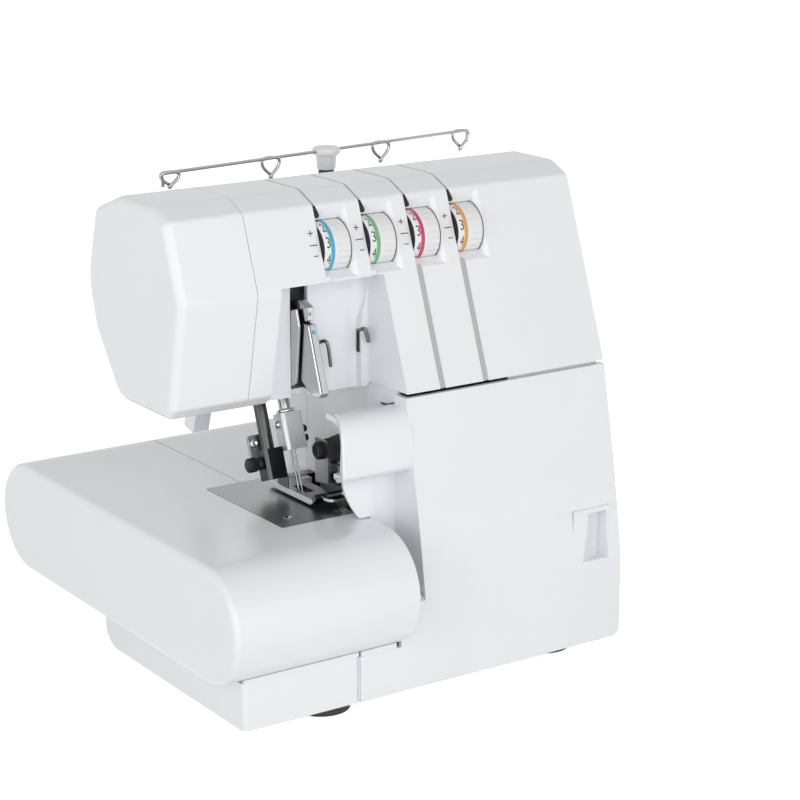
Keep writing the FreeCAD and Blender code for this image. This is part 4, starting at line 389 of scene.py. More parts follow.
FINISHES = (
    Finish("white_plastic", Shade.WHITE, (0.74, 0.74, 0.75), 0.26, coat=0.25),
    Finish("dial_plastic", Shade.IVORY, (0.70, 0.70, 0.69), 0.30, coat=0.15),
    Finish("black_plastic", Shade.BLACK, (0.035, 0.035, 0.035), 0.36, bump=0.10, use=0.3, shine=0.22),
    Finish("foot_rubber", Shade.RUBBER, (0.07, 0.07, 0.07), 0.70, bump=0.2, fine=1500.0, use=0.4),
    Finish("ground_steel", Shade.STEEL, (0.40, 0.41, 0.43), 0.26, 0.16, 1.0, ground=True, bump=0.05),
    Finish("plate_steel", Shade.PLATE, (0.14, 0.14, 0.15), 0.24, 0.16, 1.0, ground=True, bump=0.05),
    Finish("satin_chrome", Shade.CHROME, (0.55, 0.56, 0.57), 0.34, 0.12, 0.45, ground=True, bump=0.03),
    Finish("lever_steel", Shade.LEVER, (0.36, 0.365, 0.37), 0.16, 0.10, 1.0, ground=True, bump=0.03),
    # The next two finishes are painted shade, laid in the grooves below the dials and in the gaps at the
    # dials' right ends.
    Finish("groove_grey", Shade.GROOVE, (0.41, 0.405, 0.395), 0.5, bump=0.05),
    Finish("seam_grey", Shade.SEAM, (0.12, 0.12, 0.12), 0.6, bump=0.05),
    Finish("black_steel", Shade.BLACK_STEEL, (0.045, 0.045, 0.05), 0.18, 0.10, 1.0, ground=True, bump=0.03),
    Finish("dark_steel", Shade.DARK_STEEL, (0.10, 0.10, 0.11), 0.16, 0.12, 1.0, ground=True, bump=0.03),
    Finish("wire_grey", Shade.GREY, (0.24, 0.24, 0.25), 0.14, 0.10, 1.0, bump=0.02),
    Finish("felt", Shade.GREY, (0.34, 0.34, 0.35), 0.92, 0.06, bump=0.5, fine=3500.0, use=0.5),
    Finish("print_white", Shade.IVORY, (0.70, 0.70, 0.70), 0.45, bump=0.02),
    Finish("chrome", Shade.CHROME, (0.60, 0.61, 0.63), 0.08, 0.06, 1.0, bump=0.01),
    Finish("cast_metal", Shade.CAST, (0.36, 0.36, 0.37), 0.48, 0.14, 1.0, bump=0.25, fine=900.0),
    Finish("bronze", Shade.BRONZE, (0.17, 0.13, 0.085), 0.38, 0.12, 1.0, bump=0.08),
    Finish("slate_paint", Shade.SLATE, (0.06, 0.06, 0.07), 0.36, bump=0.06, use=0.2),
    Finish("ink", Shade.INK, (0.09, 0.09, 0.10), 0.45, bump=0.02),
    Finish("ring_blue", Shade.BLUE, (0.06, 0.34, 0.48), 0.32, bump=0.02),
    Finish("ring_green", Shade.GREEN, (0.18, 0.38, 0.20), 0.32, bump=0.02),
    Finish("ring_crimson", Shade.CRIMSON, (0.48, 0.05, 0.13), 0.32, bump=0.02),
    Finish("ring_orange", Shade.ORANGE, (0.62, 0.30, 0.08), 0.32, bump=0.02),
)

SLOT_FINISH = {
    "white_housing": "white_plastic",
    "white_dial": "dial_plastic",
    "black_plastic": "black_plastic",
    "rubber_black": "foot_rubber",
    "belt_rubber": "foot_rubber",
    "steel_plate": "plate_steel",
    "chrome_bar": "chrome",
    "tool_steel": "ground_steel",
    "cast_frame": "cast_metal",
    "bronze": "bronze",
    "mast_dark": "slate_paint",
    "wire_steel": "wire_grey",
    "motor_case": "slate_paint",
    "spool_grey": "dial_plastic",
}

NODE_FINISH = {
    "presser_bar": "black_steel",
    "foot_ankle": "black_steel",
    "needles": "wire_grey",
    "presser_foot": "dark_steel",
    "needle_bar": "wire_grey",
    "needle_clamp": "satin_chrome",
    "mast_rod": "dark_steel",
}


@dataclass(frozen=True)
class Piece:
    """A new piece: its name, the body that carries it, its finish and the CAD node it stands for."""

    name: str
    body: str
    finish: str
    stands_for: str = field(default="", kw_only=True)

    def make(self, shop: Workshop) -> None:
        """Makes the mesh, which each kind of piece does in its own way."""
        raise NotImplementedError


@dataclass(frozen=True)
class Flat(Piece):
    """Flat faces: points, n by 3, and the vertex numbers of each face, or else four points to a face."""

    points: np.ndarray
    faces: list | None = None

    def make(self, shop: Workshop) -> None:
        """Hands the faces over."""
        shop.mesh(self, self.points, self.faces or np.arange(len(self.points)).reshape(-1, 4).tolist())


@dataclass(frozen=True)
class Surface(Piece):
    """A surface given as a grid of points, u by v by 3, whose last column joins the first."""

    points: np.ndarray
    soft: bool = True
    edge: float = 0.0

    def make(self, shop: Workshop) -> None:
        """Hands the grid over."""
        shop.grid(self, self.points, soft=self.soft, edge=self.edge)


@dataclass(frozen=True)
class Turned(Piece):
    """A turned piece: each (radius, height) of the profile becomes a ring about the axis.

    Heights count from the centre. Flutes of a depth go round the widest rings, for grip.
    """

    axis: Axis
    centre: Point
    profile: Outline
    sides: int = 48
    flutes: int = 0
    depth: float = 0.0

    def make(self, shop: Workshop) -> None:
        """Turns the rings.

        Args:
            shop: makes the mesh.
        """
        across, along, spin = self.axis.basis()
        angle = np.linspace(0.0, ROUND, self.sides, endpoint=False)
        radius, height = np.array(self.profile).T[..., None]
        wave = self.depth * 0.5 * (1.0 - np.cos(self.flutes * angle))[None, :]
        reach = (radius - wave * (radius > radius.max() * 0.9))[..., None]
        ring = np.cos(angle)[:, None] * across + np.sin(angle)[:, None] * along
        shop.grid(self, np.asarray(self.centre) + reach * ring[None] + height[..., None] * spin)


@dataclass(frozen=True)
class Tube(Piece):
    """A round wire: a circle carried along a path that never runs along the side direction."""

    path: np.ndarray
    radius: float
    side: Point
    sides: int = 12

    def make(self, shop: Workshop) -> None:
        """Carries the circle across the path's direction.

        Args:
            shop: makes the mesh.
        """
        ahead = np.gradient(self.path, axis=0)
        ahead /= np.linalg.norm(ahead, axis=1, keepdims=True)
        across = np.cross(ahead, np.asarray(self.side, dtype=float))
        across /= np.linalg.norm(across, axis=1, keepdims=True)
        up = np.cross(across, ahead)
        angle = np.linspace(0.0, ROUND, self.sides, endpoint=False)[None, :, None]
        circle = np.cos(angle) * across[:, None] + np.sin(angle) * up[:, None]
        shop.grid(self, self.path[:, None] + self.radius * circle)


@dataclass(frozen=True)
class Plate(Piece):
    """A plate: an outline that turns left on a plane, carried square to it, with softened edges."""

    corner: Point
    plane: Plane
    outline: Outline
    thick: float
    edge: float

    def make(self, shop: Workshop) -> None:
        """Closes the plate below, above and round its sides.

        Args:
            shop: makes the mesh.
        """
        near = self.plane.lay(self.corner, self.outline)
        count = len(near)
        step = np.arange(count)
        after = (step + 1) % count
        sides = np.stack((step, after, after + count, step + count), axis=-1).tolist()
        faces = [step[::-1].tolist(), (step + count).tolist(), *sides]
        shop.mesh(self, np.vstack((near, near + self.plane.out() * self.thick)), faces, edge=self.edge)


@dataclass(frozen=True)
class RingPlate(Piece):
    """A plate with a hole. Outside and hole have a width, a height and a corner radius each."""

    middle: Point
    plane: Plane
    outer: Point
    inner: Point
    thick: float

    def make(self, shop: Workshop) -> None:
        """Joins the two rounded outlines above, below and on both sides.

        Args:
            shop: makes the mesh.
        """
        rise = self.plane.out() * self.thick
        outside, hole = (self.plane.lay(self.middle, rounded(*sizes)) for sizes in (self.outer, self.inner))
        surface = np.stack((outside, outside + rise, hole + rise, hole), axis=1)
        shop.grid(self, surface, closed=True, soft=False, edge=0.25)


@dataclass(frozen=True)
class Band(Piece):
    """A closed ring: a rectangle, from radius to radius and over a span, carried round an axis."""

    centre: Point
    radii: Pair
    span: Pair
    axis: Axis = Axis.X

    def make(self, shop: Workshop) -> None:
        """Carries the rectangle round.

        Args:
            shop: makes the mesh.
        """
        reach = np.array(self.radii)[[0, 1, 1, 0]][None, :, None]
        height = np.repeat(self.span, 2)[None, :, None]
        angle = np.linspace(0.0, ROUND, RING_SIDES, endpoint=False)[:, None]
        across, along, spin = self.axis.basis()
        circle = np.cos(angle) * across + np.sin(angle) * along
        surface = np.asarray(self.centre) + reach * circle[:, None] + height * spin
        shop.grid(self, surface, closed=True, soft=False)


class Workshop:
    """Makes meshes from arrays and hands them to the frame."""

    def __init__(self) -> None:
        """Builds every finish."""
        kit = Kit()
        self.finishes = {finish.name: finish.material(kit) for finish in FINISHES}
        self.slots = {finish: slot for slot, finish in reversed(SLOT_FINISH.items())}

    def dress_nodes(self, frame: dict) -> None:
        """Gives each CAD node the finish of its material slot.
        """
        for part in frame["record"]["subparts"]:
            held = frame["nodes"][part["node"]]
            name = NODE_FINISH.get(part["node"], SLOT_FINISH[part["material_slot"]])
            held.data.materials.clear()
            held.data.materials.append(self.finishes[name])
            LOG.info("%s takes %s", part["node"], name)

    @staticmethod
    def bare(name: str, points: np.ndarray, faces: list, soft: bool) -> bpy.types.Object:
        """A mesh object from machine millimetres.

        Args:
            name: the object's name.
            points: vertices, n by 3.
            faces: vertex numbers of each face.
            soft: whether the faces shade smoothly.

        Returns:
            The object, at the origin, with its place in its mesh.
        """
        data = bpy.data.meshes.new(name)
        data.from_pydata(row(points).tolist(), [], faces)
        data.polygons.foreach_set("use_smooth", np.full(len(data.polygons), soft))
        data.validate()
        data.update()
        made = bpy.data.objects.new(name, data)
        bpy.context.collection.objects.link(made)
        return made

    def mesh(
        self, piece: Piece, points: np.ndarray, faces: list, soft: bool = False, edge: float = 0.0
    ) -> None:
        """Makes a piece, paints it and lets it ride on its body.

        Args:
            piece: the piece.
            points: vertices in machine millimetres, n by 3.
            faces: vertex numbers of each face.
            soft: whether the faces shade smoothly.
            edge: width of its rounded edges.
        """
        made = self.bare(piece.name, points, faces, soft)
        if edge:
            bevel = made.modifiers.new("edge", "BEVEL")
            bevel.width = edge * MM
            bevel.segments = 2
        made.data.materials.append(self.finishes[piece.finish])
        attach(made, piece.body)
        if piece.stands_for:
            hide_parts(piece.stands_for)
        LOG.info("%s rides on %s", piece.name, piece.body)

    def grid(
        self, piece: Piece, surface: np.ndarray, closed: bool = False, soft: bool = True, edge: float = 0.0
    ) -> None:
        """A surface given as a grid of points, whose last column joins the first.

        Args:
            piece: the piece.
            surface: points, u by v by 3.
            closed: whether the last row joins the first. Otherwise both get a face.
            soft: whether the faces shade smoothly.
            edge: width of its rounded edges.
        """
        rows, cols = surface.shape[:2]
        number = np.arange(rows * cols).reshape(rows, cols)
        u, v = np.meshgrid(np.arange(rows if closed else rows - 1), np.arange(cols), indexing="ij")
        nu, nv = (u + 1) % rows, (v + 1) % cols
        quads = np.stack((number[u, v], number[nu, v], number[nu, nv], number[u, nv]), axis=-1)
        faces = quads.reshape(-1, 4).tolist()
        if not closed:
            faces.append(number[0].tolist())
            faces.append(number[-1][::-1].tolist())
        self.mesh(piece, surface.reshape(-1, 3), faces, soft, edge)

    @staticmethod
    def glyph(text: str) -> tuple[np.ndarray, list[list[int]]]:
        """One plain character as a flat mesh.

        Args:
            text: the character.

        Returns:
            Points in a box from 0 to 1 each way, and the faces' vertex numbers.
        """
        curve = bpy.data.curves.new("glyph", "FONT")
        curve.body = text
        curve.resolution_u = 3
        holder = bpy.data.objects.new("glyph", curve)
        bpy.context.collection.objects.link(holder)
        bpy.context.view_layer.update()
        flat = bpy.data.meshes.new_from_object(holder.evaluated_get(bpy.context.evaluated_depsgraph_get()))
        work = bmesh.new()
        work.from_mesh(flat)
        bmesh.ops.triangulate(work, faces=work.faces[:])
        bmesh.ops.subdivide_edges(work, edges=work.edges[:], cuts=2, use_grid_fill=True)
        work.to_mesh(flat)
        work.free()
        points = np.empty(len(flat.vertices) * 3)
        flat.vertices.foreach_get("co", points)
        points = points.reshape(-1, 3)[:, :2]
        points = (points - points.min(axis=0)) / np.maximum(np.ptp(points, axis=0), 1e-6)
        loops = [list(face.vertices) for face in flat.polygons]
        bpy.data.objects.remove(holder)
        bpy.data.curves.remove(curve)
        bpy.data.meshes.remove(flat)
        return points, loops


@dataclass
class Assembly:
    """A sub-assembly, made with the workshop's tools."""

    shop: Workshop

    def add(self, *pieces: Piece) -> None:
        """Makes pieces in order."""
        for piece in pieces:
            piece.make(self.shop)


@dataclass
class TensionDials(Assembly):
    """Coloured rings and digits of the dials, dark discs and rims of painted shade at their ends, and the
    marks beside them.
    """

    first: float = 88.0
    pitch: float = 31.6
    inset: float = 0.6
    radius: float = 16.0
    proud: float = 0.07
    ring: Pair = (3.8, 6.4)
    ring_sunk: float = 0.6
    width: float = 17.75
    washer: Pair = (8.4, 14.9)
    # Black disc on each dial's left end: painted shade of the slot beside the dial.
    washer_span: Pair = (-0.12, 0.2)
    # Dark ring on each dial's right end: painted shade of the gap between the dial and the pocket's wall.
    rim_wide: float = 1.2
    rim_thick: float = 0.35
    digit_left: float = 1.0
    digit_width: float = 2.7
    digit_height: float = 6.4
    digit_step: float = math.radians(36.0)
    face: float = 264.0
    depth: float = 11.0
    brow: Pair = (62.0, 286.0)
    stroke: float = 0.6
    # Outline of a black plate in the slot's mouth, painted shade of its gap.
    mouth: Outline = ((0.0, 15.6), (2.4, 15.6), (3.4, 16.6), (3.1, 18.4), (1.5, 23.0), (0.0, 23.0))
    groove_from: int = 3
    groove_top: float = -19.0
    groove_foot: float = 175.4
    # Strips of painted shade in each groove, as finish, width and thickness: a grey one for the shaded floor
    # and a dark one for the shaded left wall.
    groove_liners: tuple = (("groove_grey", 3.85, 0.2), ("seam_grey", 0.75, 0.5))
    colours: tuple[str, ...] = ("ring_blue", "ring_green", "ring_crimson", "ring_orange")

    def panel(self, x: np.ndarray, along: np.ndarray, out: np.ndarray) -> np.ndarray:
        """Points on the leaning dial panel.

        Args:
            x: machine x.
            along: distance up the panel from the middle of the pockets.
            out: distance in front of the panel.

        Returns:
            Machine points, with the three arrays broadcast together.
        """
        x, along, out = np.broadcast_arrays(x, along, out)
        base = self.brow[0] - (self.brow[1] - self.face) * math.tan(LEAN)
        y = base + along * math.sin(LEAN) - out * math.cos(LEAN)
        z = self.face + along * math.cos(LEAN) + out * math.sin(LEAN)
        return np.stack((x, y, z), axis=-1)

    def build(self) -> None:
        """Makes ring, dark disc and rim of painted shade, digits and marks for each dial."""
        centre = self.panel(0.0, 0.0, -self.depth)
        ring = (self.radius - self.ring_sunk, self.radius + self.proud)
        rim = ((self.radius - self.rim_wide, self.radius), (self.width, self.width + self.rim_thick))
        for n, colour in enumerate(self.colours, 1):
            slot = self.first + self.pitch * (n - 1)
            axis = centre + (slot + self.inset, 0.0, 0.0)
            body = f"dial_{n}"
            self.add(
                Band(f"dial_ring_{n}", body, colour, axis, ring, self.ring),
                # Black disc on the dial's left end, painted shade of the slot beside it.
                Band(f"dial_washer_{n}", body, "black_plastic", axis, self.washer, self.washer_span),
                # Dark ring on the dial's right end, painted shade of the gap beside it.
                Band(f"dial_rim_{n}", body, "seam_grey", axis, *rim),
            )
            self.digits(n, axis)
            self.marks(n, slot)
            self.throat(n, slot)

    def digits(self, n: int, axis: np.ndarray) -> None:
        """Ten plain digits bent round the dial, a tenth of a turn apart, with 3 at the mark.

        Args:
            n: the dial's number.
            axis: the dial's middle at its left end.
        """
        reach = self.radius + self.proud
        points: list[np.ndarray] = []
        faces: list[list[int]] = []
        count = 0
        for digit in range(10):
            flat, loops = self.shop.glyph(str(digit))
            x = axis[0] + self.digit_left + flat[:, 0] * self.digit_width
            rise = (flat[:, 1] - 0.5) * self.digit_height / self.radius
            turn = math.pi - LEAN + (digit - 3) * self.digit_step - rise
            y, z = axis[1] + reach * np.cos(turn), axis[2] + reach * np.sin(turn)
            points.append(np.column_stack((x, y, z)))
            faces += [[i + count for i in loop] for loop in loops]
            count += len(flat)
        self.add(Flat(f"dial_digits_{n}", f"dial_{n}", "ink", np.vstack(points), faces))

    def throat(self, n: int, slot: float) -> None:
        """Black plate in the thread slot's mouth above a dial, painted shade of its gap, and strips of
        painted shade in the groove below it.

        Args:
            n: the dial's number.
            slot: x of the thread slot.
        """
        # Black plate in the slot's mouth: painted shade of the gap beside the dial.
        mouth = (self.panel(slot, 0.0, -0.4), Plane.PANEL, self.mouth, 0.46, 0.02)
        self.add(Plate(f"slot_mouth_{n}", "root", "black_plastic", *mouth))
        if n < self.groove_from:
            return
        low = (self.groove_foot - self.face) / math.cos(LEAN)
        top = self.groove_top
        corner = self.panel(slot, 0.0, -1.55)
        # Each strip paints the groove's shade onto the panel.
        for finish, wide, thick in self.groove_liners:
            strip = ((0.1, low), (wide, low), (wide, top), (0.1, top))
            self.add(Plate(f"{finish}_liner_{n}", "root", finish, corner, Plane.PANEL, strip, thick, 0.02))

    def marks(self, n: int, slot: float) -> None:
        """Plus, index line and minus printed on the panel, as flat bars.

        Args:
            n: the dial's number.
            slot: x of the thread slot.
        """
        bars = (
            (slot - 4.9, 7.2, 3.4, self.stroke),
            (slot - 4.9, 7.2, self.stroke, 3.4),
            (slot - 4.1, 0.0, 5.4, self.stroke),
            (slot - 3.7, -6.4, 3.2, self.stroke),
        )
        points = [
            self.panel(x + SQUARE[:, 0] * wide, up + SQUARE[:, 1] * tall, 0.05) for x, up, wide, tall in bars
        ]
        self.add(Flat(f"panel_marks_{n}", "root", "ink", np.vstack(points)))


@dataclass
class GuideHead(Assembly):
    """Wire with four thread eyes, the cap that carries it and the ridged end of the mast."""

    mast: Point = (170.0, 176.0, 295.0)
    turn: float = math.radians(8.0)
    wire: float = 1.1
    left_reach: float = 130.0
    right_reach: float = 125.0
    eyes: tuple[Pair, ...] = ((-123.5, 8.8), (-45.5, 12.0), (46.5, 12.0), (118.0, 12.0))
    eye_half: float = 5.5
    eye_side: tuple[Point, ...] = (
        (-1.25, 0.0, 0.0), (-0.5, 0.0, -0.6), (0.45, 0.04, -1.2), (1.0, -0.02, -1.3), (1.12, -0.22, -1.3),
        (0.95, -0.45, -1.3), (0.48, -0.66, -1.25), (0.0, -0.84, -1.15), (-0.34, -1.0, -0.7),
    )
    eye_bottom: Point = (0.0, -1.04, 0.0)
    cap: Outline = (
        (4.36, -11.9), (5.6, -11.9), (6.0, -11.5), (6.5, -3.6), (7.2, -2.8), (8.4, -2.3), (8.9, -1.5),
        (8.9, 0.7), (8.4, 1.7), (7.0, 2.5), (4.8, 2.85), (2.2, 3.0), (0.3, 3.0),
    )
    ridges: tuple[float, ...] = (-15.9, -14.5, -13.1)
    ridge_radii: Pair = (4.25, 5.0)
    ridge_span: Pair = (0.0, 0.8)

    def place(self, local: np.ndarray) -> np.ndarray:
        """Points of the turned guide frame as machine points.

        Args:
            local: points counted from the mast's top, along and across the guide.

        Returns:
            The points, turned about the mast.
        """
        c, s = math.cos(self.turn), math.sin(self.turn)
        spin = np.array([(c, s, 0.0), (-s, c, 0.0), (0.0, 0.0, 1.0)])
        return np.asarray(local) @ spin + np.asarray(self.mast)

    def build(self) -> None:
        """Makes the wire, the cap with its domed rim over a tapered collar, and the ridges."""
        self.bend_wire()
        cap = (Axis.Z, self.mast, self.cap, 64)
        self.add(Turned("mast_cap", "guide_head", "dial_plastic", *cap, stands_for="guide_cap"))
        for n, height in enumerate(self.ridges, 1):
            ring = (np.asarray(self.mast) + (0.0, 0.0, height), self.ridge_radii, self.ridge_span, Axis.Z)
            self.add(Band(f"mast_ridge_{n}", "mast", "black_plastic", *ring))

    def eye(self, centre: float, drop: float) -> np.ndarray:
        """Control points of one hanging eye: over the bar, down one side, crossed, and up the other.

        Args:
            centre: the eye's place along the bar.
            drop: how far it hangs.

        Returns:
            The control points, n by 3.
        """
        half = np.array(self.eye_side)
        u, v, w = np.vstack((half, self.eye_bottom, half[::-1] * (-1.0, 1.0, -1.0))).T
        return np.column_stack((centre + u * self.eye_half, w, v * drop))

    def bend_wire(self) -> None:
        """One smooth wire through all control points."""
        start, end = self.left_reach - self.wire, self.right_reach - self.wire
        control = [np.array([(-start, 0.0, -8.0), (-start, 0.0, -3.0)])]
        control += [self.eye(centre, drop) for centre, drop in self.eyes]
        control.append(np.array([(end, 0.0, -3.0), (end, 0.0, -8.0)]))
        path = self.place(smooth(np.vstack(control), 7))
        side = self.place((0.0, 1.0, 0.0)) - np.asarray(self.mast)
        self.add(Tube("guide_wire", "guide_head", "wire_grey", path, self.wire, side, stands_for="guide_bar"))


@dataclass
class ThreadRecess(Assembly):
    """Thread channel, bent hooks, take-up lever and its trim."""

    floor: float = 70.0
    wall: float = 127.3
    low: float = 171.5
    bend: float = 208.0
    top: float = 232.0
    channel_left: float = 122.6
    channel_proud: float = 6.5
    slot_place: Point = (122.3, 67.6, 199.5)
    slot_size: Point = (1.2, 14.0, 0.4)
    hook_wire: float = 1.1
    hooks: tuple[tuple[Point, ...], ...] = (
        (
            (95.4, 71.0, 200.5), (95.6, 68.5, 201.2), (96.2, 64.8, 203.4), (97.2, 62.2, 203.6),
            (98.2, 61.7, 200.0), (99.2, 61.9, 193.0), (100.1, 62.3, 187.6),
        ),
        (
            (122.4, 66.0, 206.0), (122.5, 64.0, 206.6), (122.9, 61.6, 207.8), (123.7, 60.4, 207.4),
            (124.6, 60.2, 204.0), (125.5, 60.3, 199.4),
        ),
    )
    lever_left: float = 80.0
    lever_thick: float = 6.0
    lever_pin: Pair = (100.0, 222.0)
    hub_radii: Pair = (4.1, 9.0)
    blade: Outline = (
        (44, 175), (51, 174.4), (66, 183), (73, 190), (73, 213), (66, 217.4), (55.4, 216.6), (42, 178),
    )
    finger: Outline = ((58, 218.4), (69, 215), (84, 213), (84, 227), (66, 229.6), (58, 226.6))
    shank: Outline = ((70, 192), (84, 205), (98, 214), (98, 230.4), (84, 228.6), (70, 226))
    guard_left: float = 77.2
    guard: Outline = ((65, 180), (70.4, 177), (70.4, 223), (64, 225), (61, 215))
    dot_x: float = 3.2
    joint_x: Pair = (1.05, 1.55)

    def build(self) -> None:
        """Makes the channel, the hooks of bent wire, the lever and its trim."""
        self.channel()
        for n, knots in enumerate(self.hooks, 1):
            wire = (smooth(np.array(knots), 8), self.hook_wire, (1.0, 0.0, 0.0))
            node_name = "recess_thread_hooks" if n == 1 else ""
            self.add(Tube(f"wire_hook_{n}", "root", "dark_steel", *wire, stands_for=node_name))
        self.lever()
        self.lever_trim()

    def lever(self) -> None:
        """Take-up lever of folded plates: blade, finger and shank, with its hub, beside its fixed guard."""
        left, thick, steel = self.lever_left, self.lever_thick, "lever_steel"
        plates = (
            ("take_up_blade", "take_up", left, self.blade, thick, 0.7, "take_up_lever"),
            ("take_up_finger", "take_up", left + 0.6, self.finger, thick - 0.6, 0.6, ""),
            ("take_up_shank", "take_up", left + 1.0, self.shank, 4.0, 0.4, ""),
            ("lever_guard", "root", self.guard_left, self.guard, 1.6, 0.3, ""),
        )
        for name, body, x, outline, deep, edge, stands_for in plates:
            form = ((x, 0.0, 0.0), Plane.SIDE, outline, deep, edge)
            self.add(Plate(name, body, steel, *form, stands_for=stands_for))
        self.add(Band("take_up_hub", "take_up", steel, (left, *self.lever_pin), self.hub_radii, (0.0, thick)))

    def channel(self) -> None:
        """A raised strip whose left edge stays upright and then eases to the right wall as it rises.

        The edge is the channel's left x plus the way to the wall times 3 s squared less 2 s cubed,
        where s runs from 0 at the bend to 1 at the top.
        """
        z = np.linspace(self.low, self.top, 40)
        s = np.clip((z - self.bend) / (self.top - self.bend), 0.0, 1.0)
        edge = self.channel_left + (self.wall - self.channel_left - 0.6) * (3.0 * s**2 - 2.0 * s**3)
        right = [(self.wall, self.low), (self.wall, self.top)]
        outline = np.vstack((np.column_stack((edge, z))[::-1], right))
        channel = ((0, self.floor, 0), Plane.FRONT, outline, self.channel_proud, 0.9)
        slot = (self.slot_place, Plane.FRONT, rounded(*self.slot_size), 2.2, 0.1)
        self.add(
            Plate("thread_channel", "root", "white_plastic", *channel),
            Plate("channel_slot", "root", "black_plastic", *slot),
        )

    def lever_trim(self) -> None:
        """Printed dots and the dark joint between the lever's plates, on its front faces."""
        angle = np.linspace(0.0, ROUND, 24, endpoint=False)
        disc = np.column_stack((np.cos(angle), np.sin(angle)))
        faces = (
            ("upper", "green", self.finger[0], 0.0, 8.2, 4.1, 1.2),
            ("lower", "blue", self.blade[-1], math.atan2(13.4, 38.6), 40.8, 36.4, 1.3),
        )
        dots, joints = [], []
        for part, colour, corner, tilt, length, dot, radius in faces:
            across, up = np.array(((1.0, 0.0, 0.0), (0.0, math.sin(tilt), math.cos(tilt))))
            out = np.array((0.0, -math.cos(tilt), math.sin(tilt)))
            start = np.array((self.lever_left, *corner))
            ring = start + out * 0.06 + (self.dot_x + disc[:, :1] * radius) * across
            ring = ring + (dot + disc[:, 1:] * radius) * up
            dots.append(Flat(f"lever_dot_{colour}", "take_up", f"ring_{colour}", ring, [list(range(24))]))
            x = np.array(self.joint_x)[[0, 1, 1, 0], None] * across
            strip = start + out * 0.05 + x + np.repeat((0.3, length - 0.3), 2)[:, None] * up
            joints.append(Flat(f"lever_joint_{part}", "take_up", "black_plastic", strip))
        self.add(*dots, *joints)


